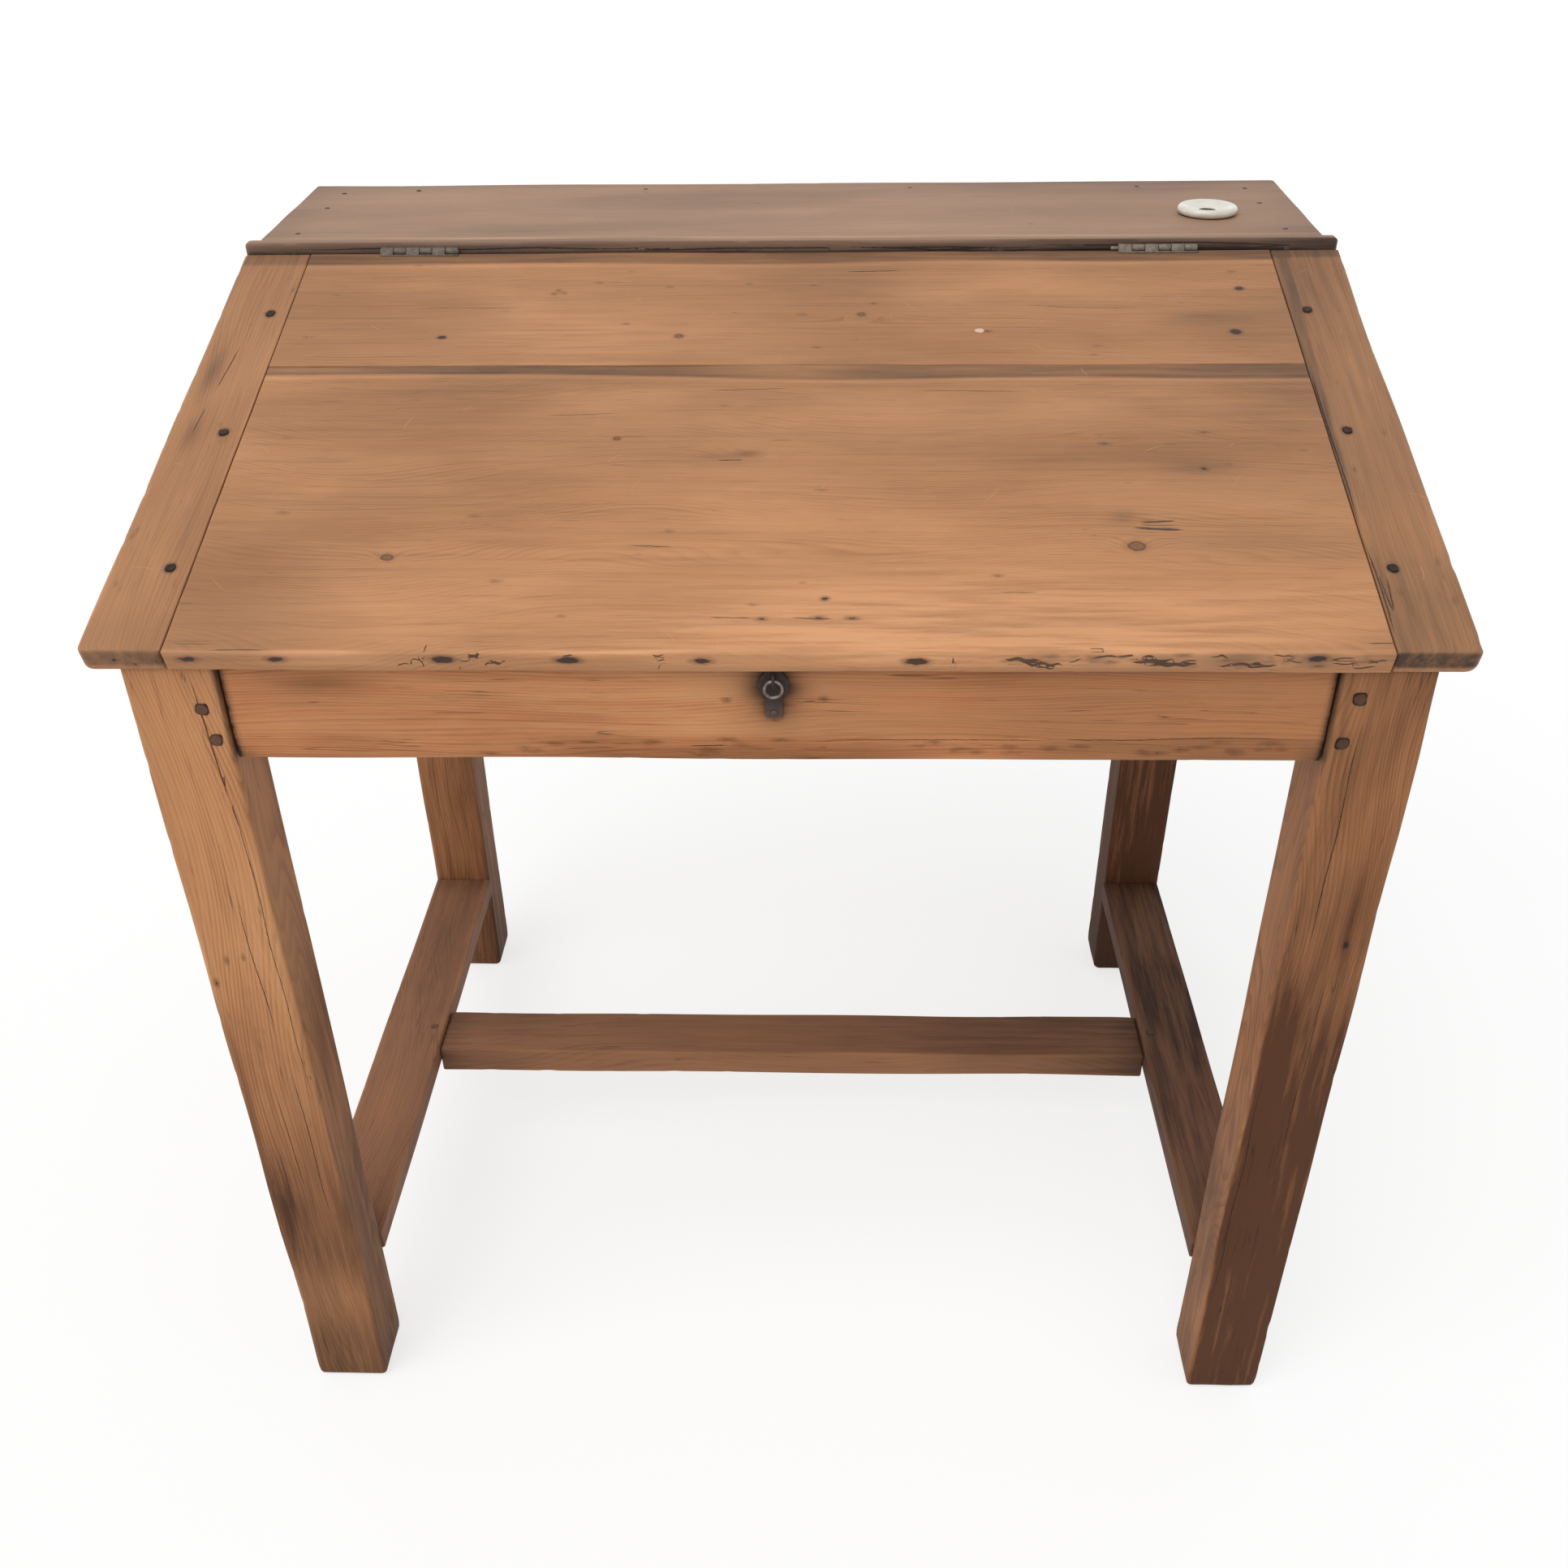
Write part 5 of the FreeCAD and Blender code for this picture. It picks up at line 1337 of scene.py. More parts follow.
class DESK_OT_lid(Operator):
    """Two boards of the sloping lid and its end cleats"""

    bl_idname = "desk.lid"
    bl_label = "Lid"

    # Worm runs on the front edge in mm: across and height at each end, and half their width.
    RUNS = (
        (-249, -10.5, -239, -10, 0.7), (-239.5, -10.4, -238, -6, 0.6), (-238, -6.2, -229, -5.8, 0.7),
        (-228.5, -2, -231, -13.5, 0.6), (-207, -7, -198, -6.2, 0.6), (-206, -16, -207.5, -12, 0.5),
        (-200, -1.5, -191, -1.5, 0.9), (-192, -1, -194, -5, 0.8), (-200, -3, -194, -4.4, 0.7),
        (-191, -10.5, -184, -7, 0.9), (-185, -7, -180, -11, 0.9), (-181, -11, -175, -6, 0.8),
        (-187, -9, -177, -8, 0.7), (-138, -2, -130, -2.4, 0.8), (-79, -2.8, -70, -2, 0.6),
        (-76, -7, -70, -5, 0.6), (-74, -10, -74, -15, 0.5), (116.5, -3, 117.5, -8.5, 0.6),
        (116.5, -8, 121, -8.2, 0.6), (150, -4.5, 175, -6.4, 2.3), (162, -8.6, 190, -9.8, 1.8),
        (172, -11.8, 185, -12.4, 0.9), (192, -8, 201, -4, 0.7), (206, -3.2, 225, -1.6, 1.0),
        (222, -2.4, 235, -0.8, 1.0), (232, -7, 261, -5, 1.8), (243, -9.6, 277, -9, 2.0),
        (238, -3, 248, -1.2, 0.8), (265, -6.4, 276, -5.4, 0.8), (283, -1.6, 296, -3, 0.8),
        (289, -11, 308, -7.4, 1.0), (297, -8.2, 319, -9, 1.4), (306, -12, 329, -9.6, 1.1),
        (323, -1.2, 338, -2, 0.6), (330, -6, 345, -7, 0.7), (360, -4.6, 377, -3, 0.7),
        (362, -9, 380, -8, 0.7), (376, -12, 392, -11, 0.8), (384, -5.4, 398, -6.4, 0.8),
    )
    RUN_BOW, RUN_WAVE = 0.5, 0.014

    # Nail marks on the front edge in mm: across, height and radius.
    EDGE_MARKS = (
        (-386, -6.5, 2.1), (-327, -6.5, 2.1), (-217, -6, 3.0), (-134, -6.5, 2.9),
        (-46, -7, 2.2), (94, -7, 2.9), (352, -4, 2.5),
    )
    EATEN, EATEN_SEED = 44, 178
    JOINT_SEED, HINGE_SEED = 177, 176
    CORNER = 8.0 * MM
    PLUMB = 40.0 * MM

    def execute(self, context):
        wear = context.scene.desk_wear
        axes = (RIGHT, ALONG_LID, OFF_LID)
        steps = (wear.lid_step, wear.lid_step, wear.coarse, wear.lid_step)
        trim = (wear.joint_gap, 0.0, wear.shrink)
        nodes = ("lid_lower_board", "lid_upper_board")
        cleats = ("left_cleat", "right_cleat")
        joint = {1: spans(nodes[1], axes)[0][1]}
        lower = cut(nodes[0], axes, steps, wear.arris, trim, cleats, tops=joint, wander=0.45)
        upper = cut(nodes[1], axes, steps, 0.7 * wear.arris, trim, cleats, tops={1: LID_END})
        self.plumb_rear(upper, 1)
        self.age_lower(lower.dent(wear.dent).weather(0.55, 0.16, 0.0))
        self.age_upper(upper.dent(wear.dent).weather(0.25, 0.16, 0.0))
        for node, board, shade in zip(nodes, (lower, upper), (0.1, 0.14)):
            self.clean_under(board, shade)
            add_boards(node, [board], "lid_pine", "lid")
        self.cleats(wear, cleats)
        return {"FINISHED"}

    def plumb_rear(self, board, number):
        """Leans the rear edge over, so that it stands upright when the lid is shut."""
        end = board.size[number] / 2.0
        lean = SLOPE * (board.local[:, 2] - board.size[2] / 2.0)
        lean *= ease(board.local[:, number], end - self.PLUMB, end)
        board.world += lean[:, None] * ALONG_LID

    @staticmethod
    def clean_under(board, shade):
        """The underside keeps one plain tone, because wear and hand grease are on the upper face."""
        under = ease(board.local[:, 2], -0.1 * board.size[2], -0.3 * board.size[2])
        for field in (board.dark, board.pale, board.grime_and_shade):
            field *= 1.0 - 0.85 * under
        board.dark += shade * under

    @staticmethod
    def plan(board):
        """Places across and up the slope in mm."""
        off = (board.world - LID_FRONT) / MM
        return off @ RIGHT, off @ ALONG_LID

    def age_lower(self, board):
        """Swirls, nail marks, a paler middle towards the front, a dark band at the joint and a worm-eaten
        front edge.
        """
        plan = x, s = self.plan(board)
        knots = ((-121, 229, 2.1, 2.2), (248, 107, 4.4, 3.6), (-269, 95, 3.2, 2.0))
        board.grow((-260.0, -90.0), 2.7, 0.008, lid_rows(knots))
        board.swirl(lid_rows((
            (-40, 88, 120, 15, 4.0), (-210, 92, 60, 11, 2.5), (310, 86, 75, 13, 3.5), (235, 223, 45, 9, 3.0),
            (10, 205, 70, 10, 2.5), (-300, 180, 90, 18, 2.0), (-30, 210, 28, 7, 2.2), (95, 228, 60, 9, 3.0),
        )))
        for stretch, rows in (
            (1.4, ((306.5, 192.5, 1.7), (34, 53, 1.6))),
            (2.4, ((238, 222, 1.0), (52, 34, 1.2), (-8, 33, 1.0), (30, 34, 1.3))),
            (2.0, ((381, 213.5, 0.4), (203, 119.5, -0.6), (220.5, 118.5, -0.6))),
            (4.0, ((271, 125, 0.7), (260, 133.5, 0.5), (255, 126, -0.2))),
        ):
            board.spots(on_lid, rows, stretch)
        board.cracks(on_lid, (
            (247, 127, 284, 124.5, 0.5, 1.6), (253, 133, 279, 135.5, 0.5, 1.2),
            (-46, 202.5, -26, 203, 0.3, 0.7), (-104, 107, -70, 106, 0.3, 0.5),
            (-228, 0.5, -227, 9, 0.2, 0.6), (-44, 34, -12, 34, 0.3, 0.6),
            (10, 34, 41, 33, 0.3, 0.6), (150, 60, 178, 60, 0.3, 0.35), (-180, 258, -120, 260, 0.5, 0.4),
            (-60, 290, 10, 291, 0.5, 0.35), (100, 288, 190, 287, 0.5, 0.35),
        ))
        board.scratches(30, 0.026, 0.95).specks(34)
        self.front_edge(board)
        start = 304.0 + 7.0 * ease(x, 40, -300) + 0.7 * ripple(x[:, None] * MM, self.JOINT_SEED, 0.4)
        band = ease(s, start - 0.6, start + 1.6)
        board.dark += 0.45 * band + 0.2 * bell(s, start + 1.5, 2.0) - 0.36 * band * bell(x, 5, 48)
        board.dark += band * (0.13 * bell(x, -230, 70) + 0.15 * ease(x, -350, -400))
        board.pale += 0.45 * bell(s, start - 2.5, 2.0)
        board.grime_and_shade += 0.3 * bell(s, 321.5, 1.5)
        blot(board.pale, plan, ((0.85, 125, 240, 15, 64), (0.25, -240, 60, 30, 30)))
        blot(board.dark, plan, (
            (0.28, 303, 26, 193, 7), (0.42, 243, 11, 138, 7), (0.5, -23, 10, 210.5, 4),
            (0.3, -46, 20, 207.5, 5), (0.26, -380, 70, 40, 60),
        ))
        for amount, across, up in (
            (0.06, (-80, -420), (240, 120)), (0.14, (-410, -250), (130, 240)), (0.16, (200, 390), (60, 200)),
        ):
            board.dark += amount * ease(x, *across) * ease(s, *up)

    def front_edge(self, board):
        """Nail marks along the front edge, and the worm-eaten stretch at its right."""
        def on_edge(x, lift):
            return on_lid(x, 0.0, lift)

        rng = np.random.default_rng(self.EATEN_SEED)
        board.spots(on_edge, self.EDGE_MARKS, 2.6)
        places = rng.uniform(150, 400, self.EATEN), rng.normal(-6.0, 3.5, self.EATEN)
        board.spots(on_edge, np.column_stack([*places, rng.uniform(-1.7, 0.5, self.EATEN)]), 3.0)
        runs = [(*run[:4], self.RUN_BOW, run[4]) for run in self.RUNS]
        board.cracks(on_edge, runs, 1, -1.0, self.RUN_WAVE)
        board.cracks(on_lid, (
            (385, 11, 405, 11, 0.2, 0.6), (205, 6, 216, 6, 0.3, 0.6), (-372, 2, -330, 2, 0.5, 0.5),
        ))
        x = board.world[:, 0] / MM
        edge = ease(board.local[:, 1] + board.size[1] / 2.0, 2.5 * MM, 0.3 * MM)
        eaten = sum(bell(x, middle, 16.0) for middle in (172.0, 212.0, 250.0, 305.0, 352.0))
        board.dark += edge * (0.12 * ease(x, 190, 300) + 0.3 * eaten + 0.06 * bell(x, -210, 30))
        board.dark += 0.2 * edge * bell(x, 283, 30)
        board.pale *= 1.0 - 0.4 * edge
        board.pale += 0.32 * edge * bell(x, -300, 60)

    def age_upper(self, board):
        """Plugged holes, a swirl, a crack, scratches and a dark band at the hinges."""
        plan = x, s = self.plan(board)
        board.grow((260.0, -80.0), 2.6, 0.008, lid_rows(((62, 391, 2.6, 4.0), (-83, 362, 2.6, 1.0))))
        board.swirl(lid_rows(((62, 391, 40, 9, 3.0), (345, 385, 60, 15, 3.0), (-190, 372, 90, 12, 3.0))))
        board.plug(on_lid(155, 368), 2.8)
        for stretch, rows in (
            (2.0, ((161, 367, 0.8), (-95, 432, 0.5), (-30, 437, 0.5), (72, 407, 0.5), (366, 452, 0.5))),
            (1.3, ((-272, 361, 2.6), (356, 365, 3.5), (368.5, 427, 2.7))),
            (1.3, ((-186, 428, 0.9), (-181, 424, 0.9), (-189, 423, 0.9))),
        ):
            board.spots(on_lid, rows, stretch)
        board.cracks(on_lid, (
            (48, 455, 98, 456, 0.4, 0.7), (-300, 402, -210, 404, 0.5, 0.35), (190, 402, 290, 400, 0.5, 0.35),
        ))
        board.scratches(16, 0.026, 0.95).specks(26)
        start = 467.0 + 4.5 * ease(x, 200, 380) + 1.2 * ripple(x[:, None] * MM, self.HINGE_SEED, 0.5)
        band = ease(s, start, start + 2.5)
        board.dark += 0.1 + band * (0.42 + 0.14 * ease(np.abs(x), 130, 200))
        board.dark += 0.1 * ease(x, 250, 390) + 0.14 * bell(x, 50, 60) + 0.1 * ease(x, -300, -390)
        board.pale += 0.4 * bell(s, start - 2.5, 2.5)
        board.grime_and_shade += 0.12 * band
        blot(board.pale, plan, ((0.4, -200, 90, 370, 40),))
        blot(board.dark, plan, ((0.3, 335, 30, 386, 8),))

    def cleats(self, wear, nodes):
        """End pieces of the lid, with their grain up the slope."""
        steps = (wear.fine, wear.fine, wear.coarse, wear.fine)
        trim = (0.0, 0.3 * MM, wear.shrink)
        for node, way in zip(nodes, (1.0, -1.0)):
            cleat = cut(
                node, (ALONG_LID, LEFT, OFF_LID), steps, wear.arris, trim, tops={0: LID_END},
                ends=(2.4 * MM, wear.arris), rounded=((-1.0, way, self.CORNER),),
                corners=(2.6, 0.6, 0.6, 2.2) if way > 0.0 else (0.6, 2.6, 2.2, 0.6),
            )
            self.plumb_rear(cleat, 0)
            cleat.dent(0.7 * wear.dent).weather(0.3, 0.18, 0.0).grow((110.0 * way, -50.0), 2.5, 0.003)
            self.age_cleat(cleat, node)
            self.clean_under(cleat, 0.12)
            add_boards(node, [cleat], "lid_pine", "lid")

    def age_cleat(self, cleat, node):
        """Dark end grain with nail holes, a dark band at the hinges, and a wedge at the right joint."""
        plan = x, s = self.plan(cleat)
        left = node == "left_cleat"
        tip = ease(cleat.local[:, 0] + cleat.size[0] / 2.0, 3.0 * MM, 0.5 * MM)
        start = 467.0 if left else 472.0
        cleat.grime_and_shade += (0.2 if left else 0.52) * tip
        cleat.dark += (0.1 if left else 0.38) + 0.35 * tip + 0.4 * ease(s, start, start + 3.0)
        cleat.scratches(6, 0.024, 0.9).specks(12)
        pegs = -417.5 if left else 417.5
        cleat.spots(on_lid, [(pegs, along, 4.0) for along in (84.0, 237.4, 395.7)], 1.25)
        if left:
            cleat.spot([on_lid(*place) for place in ((-435, 0, -7), (-422, 0, -11), (-408, 0, -8))], 1.5)
            blot(cleat.dark, plan, ((0.5, -445, 8, 315, 28), (0.45, -440, 8, 236, 22)))
            cleat.dark += 0.14 * ease(s, 50, 20)
            cleat.grime_and_shade += 0.14 * ease(s, 280, 460)
            cleat.cracks(on_lid, ((-436, 290, -432, 350, 0.4, 0.6), (-441, 235, -439, 270, 0.4, 0.5)))
        else:
            wide = 13.0 * np.clip((s - 60.0) / 425.0, 0.0, 1.0)
            wedge = ease(x - 403.0, wide + 0.7, wide - 0.7) * ease(s, 100, 150)
            cleat.dark += wedge * (0.2 + 0.24 * bell(s, 260, 80))
            cleat.dark += 0.13 * ease(s, 120, 180) * ease(s, 410, 350)
            cleat.cracks(on_lid, (
                (404, 120, 404.5, 330, 0.5, 0.8), (405, 15, 404, 110, 0.6, 0.7), (408, 40, 411, 75, 0.5, 0.6),
            ))


class DESK_OT_pegs(Operator):
    """Square pegs, a little proud of the boards that they hold"""

    bl_idname = "desk.pegs"
    bl_label = "Pegs"

    GROUPS = ("front_leg_pegs", "side_panel_pegs", "back_panel_pegs", "stretcher_pegs", "lid_pegs")
    STEPS = (2.0 * MM, 0.7 * MM, 0.7 * MM, 0.7 * MM)
    ENDS = (0.5 * MM, 0.7 * MM)

    def execute(self, context):
        wear = context.scene.desk_wear
        for node in self.GROUPS:
            body = "lid" if node == "lid_pegs" else "frame"
            pegs = []
            for count, points in enumerate(solids(node)):
                axes = self.peg_axes(node, points)
                reach = points @ np.array(axes).T
                low, high = reach.min(axis=0), reach.max(axis=0)
                high[0] += wear.peg_stand
                width = high[1] - low[1]
                seed = SEEDS[node] + count
                peg = Board(axes, low, high, seed, self.STEPS, 0.3 * width, self.ENDS, 0.35)
                peg.dent(0.2 * MM, 0.008).grow((3.0, 2.0), 0.9, 0.0005)
                rim = np.linalg.norm(peg.local[:, 1:], axis=1) / width
                peg.grime_and_shade += (0.2 if node == "stretcher_pegs" else 0.7) * ease(rim, 0.38, 0.52)
                peg.grime_and_shade += 0.8 if body == "lid" else 0.45 if points[:, 0].mean() > 0.0 else 0.15
                pegs.append(peg)
            add_boards(node, pegs, "peg_wood", body)
        return {"FINISHED"}

    @staticmethod
    def peg_axes(node, points):
        """A peg's length first: out of the lid, or along its longest side and away from the desk's middle."""
        if node == "lid_pegs":
            return OFF_LID, RIGHT, ALONG_LID
        size = points.max(axis=0) - points.min(axis=0)
        longest = int(size.argmax())
        if longest == 2:
            return UP, RIGHT, BACK
        if longest == 0:
            return (RIGHT, BACK, UP) if points[:, 0].mean() > 0.0 else (LEFT, BACK, DOWN)
        return (BACK, LEFT, UP) if points[:, 1].mean() > 0.0 else (FRONT, RIGHT, UP)


# Nails, hinges, pull and inkwell


class DESK_OT_nails(Operator):
    """Nails of the shelf, the strip, the floor and the pull"""

    bl_idname = "desk.nails"
    bl_label = "Nails"

    HEAD_SIDES, ROUGH = 20, 0.06

    def execute(self, context):
        stand = context.scene.desk_wear.nail_stand
        heads = {"shelf_nails": UP, "floor_nails": UP, "rail_nails": FRONT, "pull_nail": FRONT}
        for node, out in heads.items():
            shapes = []
            for count, points in enumerate(solids(node)):
                reach = points @ out
                head = points[reach > reach.max() - 0.2 * MM]
                base = head.mean(axis=0)
                radius = np.linalg.norm(head - base, axis=1).max()
                length = reach.max() - reach.min()
                profile = (
                    (0.0, -length), (0.3 * MM, 1.0 * MM - length), (0.5 * radius, 2.5 * MM - length),
                    (0.5 * radius, -1.0 * MM), (radius, -0.8 * MM), (radius, -0.1 * MM),
                    (0.94 * radius, 0.6 * stand), (0.7 * radius, stand), (0.35 * radius, 1.1 * stand),
                    (0.0, stand),
                )
                shapes.append(turned(profile, base, out, self.HEAD_SIDES, SEEDS[node] + count, self.ROUGH))
            add_shapes(node, shapes, "nail_iron")
        return {"FINISHED"}


def refinish(finish, *nodes):
    """Gives CAD nodes that are kept as they are a finish of the desk's own."""
    for node in nodes:
        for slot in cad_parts[node].material_slots:
            slot.material = desk_material(finish)


class DESK_OT_hinges(Operator):
    """Two steel butt hinges: the lid leaf's plates between the strip leaf's knuckles, and their pins"""

    bl_idname = "desk.hinges"
    bl_label = "Hinges"

    KNUCKLES = 6
    BARREL_SIDES, PIN_SIDES = 28, 24

    # Soil on the left and the right hinge, where the lid leaf's lip lies, and how deep its strips are sunk.
    DULL = (0.3, 0.08)
    LIP = -5.6 * MM
    SUNK = 0.3 * MM

    def execute(self, context):
        for number, side in enumerate(SIDES):
            nodes = [f"{side}_hinge_{part}" for part in ("lid_leaf", "rail_leaf", "pin")]
            pin_low, pin_high = [np.array(corner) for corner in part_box(nodes[2])]
            axis = (pin_low + pin_high) / 2.0
            leaves = np.concatenate([node_points(node) for node in nodes[:2]])
            edges = np.linspace(leaves[:, 0].min(), leaves[:, 0].max(), self.KNUCKLES + 1)
            barrel = 0.97 * (node_points(nodes[1])[:, 2].max() - axis[2])
            self.lid_leaf(nodes[0], edges, axis, barrel, number)
            self.rail_leaf(nodes[1], edges, axis, barrel, number)
            radius = (pin_high[2] - pin_low[2]) / 2.0
            long = pin_high[0] - pin_low[0]
            profile = ((0.0, 0.0), (0.7 * radius, 0.0), (radius, 0.4 * MM), (radius, long - 0.4 * MM),
                       (0.7 * radius, long), (0.0, long))
            shape = turned(profile, np.array((pin_low[0], axis[1], axis[2])), RIGHT, self.PIN_SIDES)
            add_shapes(nodes[2], [shape], "hinge_steel")
        refinish("hinge_steel", "rail_leaf_screws", "lid_leaf_screws")
        return {"FINISHED"}

    def lid_leaf(self, node, edges, axis, barrel, number):
        """Plates that come over the barrel onto the lid, a lip along the front, and dark strips between them:
        painted shade where each knuckle of the strip leaf leaves a dark slot.
        """
        back = -1.0 * MM
        turn = np.radians(np.linspace(-50.0, 140.0, 20))
        arc = barrel * np.column_stack([np.cos(turn), np.sin(turn)])
        plates, shade_strips = [], []
        for knuckle in range(0, self.KNUCKLES, 2):
            broken = 1.6 * MM if (number, knuckle) == (1, 4) else 0.0
            front = self.LIP + broken
            low, high = self.lid_top(axis, front), self.lid_top(axis, back)
            onto_lid = (front, low + 0.8 * MM), (front, low - self.SUNK), (back, high - 1.6 * MM)
            loop = np.concatenate((arc, onto_lid)) + axis[1:]
            plates.append(swept(loop, edges[knuckle] + 0.15 * MM, edges[knuckle + 1] - 0.15 * MM, 0.25 * MM))
        # Thin strips on the lid between the plates: painted shade where the knuckles leave a dark slot.
        for knuckle in range(1, self.KNUCKLES, 2):
            loop = self.strip(axis, self.LIP + 0.6 * MM, back, 0.25 * MM)
            shade_strips.append(swept(loop, edges[knuckle] - 0.4 * MM, edges[knuckle + 1] + 0.4 * MM, 0.05 * MM))
        loop = self.strip(axis, self.LIP - 0.3 * MM, self.LIP + 0.7 * MM, 0.7 * MM)
        shapes = plates + shade_strips + [swept(loop, edges[0], edges[-1], 0.2 * MM)]
        # Full soil on the strips, as painted shade, and the hinge's own soil elsewhere.
        soil_and_shade_levels = [0.0] * len(plates) + [1.0] * len(shade_strips) + [0.0]
        soil_and_shade = np.repeat(soil_and_shade_levels, [len(points) for points, _, _ in shapes])
        piece = add_shapes(node, shapes, "hinge_steel", "lid")
        put_field(piece.data, "soil_and_shade", np.maximum(soil_and_shade, self.DULL[number]))

    @staticmethod
    def lid_top(axis, depth):
        """Height of the lid's upper face above the hinge's axis, at a distance behind it."""
        return LID_REAR[2] - axis[2] + SLOPE * (axis[1] + depth - LID_REAR[1])

    def strip(self, axis, front, back, height):
        """Outline of a thin strip that lies on the lid."""
        low, high = self.lid_top(axis, front), self.lid_top(axis, back)
        upper, lower = height, -self.SUNK
        loop = (back, high + lower), (back, high + upper), (front, low + upper), (front, low + lower)
        return np.array(loop) + axis[1:]

    def rail_leaf(self, node, edges, axis, barrel, number):
        """Round knuckles, and the plate that is screwed to the strip's face."""
        loop = 0.96 * barrel * circle(self.BARREL_SIDES) + axis[1:]
        shapes = [
            swept(loop, edges[knuckle] + 0.3 * MM, edges[knuckle + 1] - 0.3 * MM, 0.4 * MM)
            for knuckle in range(1, self.KNUCKLES, 2)
        ]
        points = node_points(node)
        plate = points[np.linalg.norm(points[:, 1:] - axis[1:], axis=1) > 1.1 * barrel]
        (_, back_low, low), (_, back_high, high) = plate.min(axis=0), plate.max(axis=0)
        outline = ((back_high, low), (back_high, high), (back_low, high), (back_low, low))
        shapes.append(swept(outline, edges[0], edges[-1], 0.2 * MM))
        piece = add_shapes(node, shapes, "hinge_steel")
        put_field(piece.data, "soil_and_shade", np.full(len(piece.data.vertices), self.DULL[number]))


class DESK_OT_pull(Operator):
    """Blackened plate and eye, and the steel ring"""

    bl_idname = "desk.pull"
    bl_label = "Pull"

    ROUGH = 0.03

    def execute(self, context):
        refinish("pull_iron", "pull_plate", "pull_eye")
        low, high = [np.array(corner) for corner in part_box("pull_ring")]
        size = (high - low) / 2.0
        wire, seed = size[1], SEEDS["pull_ring"]
        shape = hoop((low + high) / 2.0, BACK, RIGHT, size[0] - wire, wire, seed, self.ROUGH)
        add_shapes("pull_ring", [shape], "ring_steel", "pull_ring")
        return {"FINISHED"}


class DESK_OT_inkwell(Operator):
    """Glazed inkwell that hangs in the shelf by its flange"""

    bl_idname = "desk.inkwell"
    bl_label = "Inkwell"

    # Thickness of the cup's wall, depth of the dished top, rounding of mouth and foot, and a hair's gap.
    WALL = 2.5 * MM
    DIP = 4.2 * MM
    MOUTH_ROUND = 1.2 * MM
    FOOT_ROUND = 2.0 * MM
    HAIR = 0.1 * MM
    CUP_SIDES, ROUGH = 128, 0.004

    def execute(self, context):
        points = node_points("inkwell")
        low, high = points.min(axis=0), points.max(axis=0)
        middle = (low + high) / 2.0
        top, bottom = high[2], low[2]
        flange = (high[0] - low[0]) / 2.0
        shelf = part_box("shelf")[1].z
        reach = np.linalg.norm(points[:, :2] - middle[:2], axis=1)
        cup = reach[points[:, 2] < shelf - 1.0 * MM].max()
        mouth = reach[points[:, 2] > shelf].min()
        foot = reach[points[:, 2] < bottom + 0.5 * MM].max()
        profile = self.profile(top, bottom, shelf, flange, cup, mouth, foot)
        base = (middle[0], middle[1], bottom)
        shape = turned(profile - (0.0, bottom), base, UP, self.CUP_SIDES, SEEDS["inkwell"], self.ROUGH)
        out, height = np.linalg.norm(shape[0][:, :2] - middle[:2], axis=1), shape[0][:, 2]
        # Near black inside the cup: painted shade in the hole, over its ink; a fainter ring round the mouth,
        # and a little darker at the flange's foot above the shelf.
        inner = (out < cup - self.WALL + self.HAIR) & (height < top - self.DIP - 2.0 * self.HAIR)
        soil_and_shade = 0.95 * (inner & (height > bottom + 0.5 * self.WALL))
        soil_and_shade = soil_and_shade + 0.25 * bell(out, mouth, 0.8 * MM) * (height > shelf)
        soil_and_shade = soil_and_shade + 0.2 * ease(height, shelf + 1.2 * MM, shelf) * (out > cup)
        mesh = build_mesh("inkwell_glazed", *shape)
        put_field(mesh, "soil_and_shade", np.clip(soil_and_shade, 0.0, 1.0))
        add_piece(mesh, "inkwell", "white_glaze", "inkwell")
        return {"FINISHED"}

    def profile(self, top, bottom, shelf, flange, cup, mouth, foot):
        """Radius and height from the foot's middle up the outside, round the lip, and down into the cup."""
        turn = np.linspace(0.0, 1.0, 13)[1:]
        bend = np.linspace(-np.pi / 2.0, np.pi / 2.0, 21)
        thick = (top - shelf - self.HAIR) / 2.0
        edge, rounding = flange - thick, self.MOUTH_ROUND
        lip = edge + thick * np.cos(bend), top - thick + thick * np.sin(bend)
        dish = edge + (mouth + rounding - edge) * turn, top - self.DIP * ease(turn, 0.0, 1.0)
        throat = (mouth + rounding * (1.0 - np.sin(turn * np.pi / 2.0)),
                  top - self.DIP - rounding * (1.0 - np.cos(turn * np.pi / 2.0)))
        wall, foot_round = self.WALL, self.FOOT_ROUND
        outside = ((0.0, bottom), (foot - foot_round, bottom), (foot, bottom + foot_round),
                   (cup - 2.0 * self.HAIR, shelf - 1.0 * MM), (cup, shelf + self.HAIR))
        ground = bottom + wall
        inside = ((mouth, top - 6.5 * MM), (cup - wall, shelf - wall), (foot - wall, ground + foot_round),
                  (foot - wall - foot_round, ground), (0.0, ground))
        return np.concatenate((outside, *[np.column_stack(part) for part in (lip, dish, throat)], inside))


# The stage


# The floor as the camera sees it, a grey under a glow, and the way from the desk to the lamp.
WHITE = (1.0, 1.0, 1.0, 1.0)
SEEN_FLOOR = (0.3, 0.3, 0.3, 1.0)
FLOOR_GLOW = 0.72
LAMP_WAY = np.array((-0.55, -0.75, 1.25))
LAMP_DISTANCE = 3.0
SENSOR_MM = 36.0


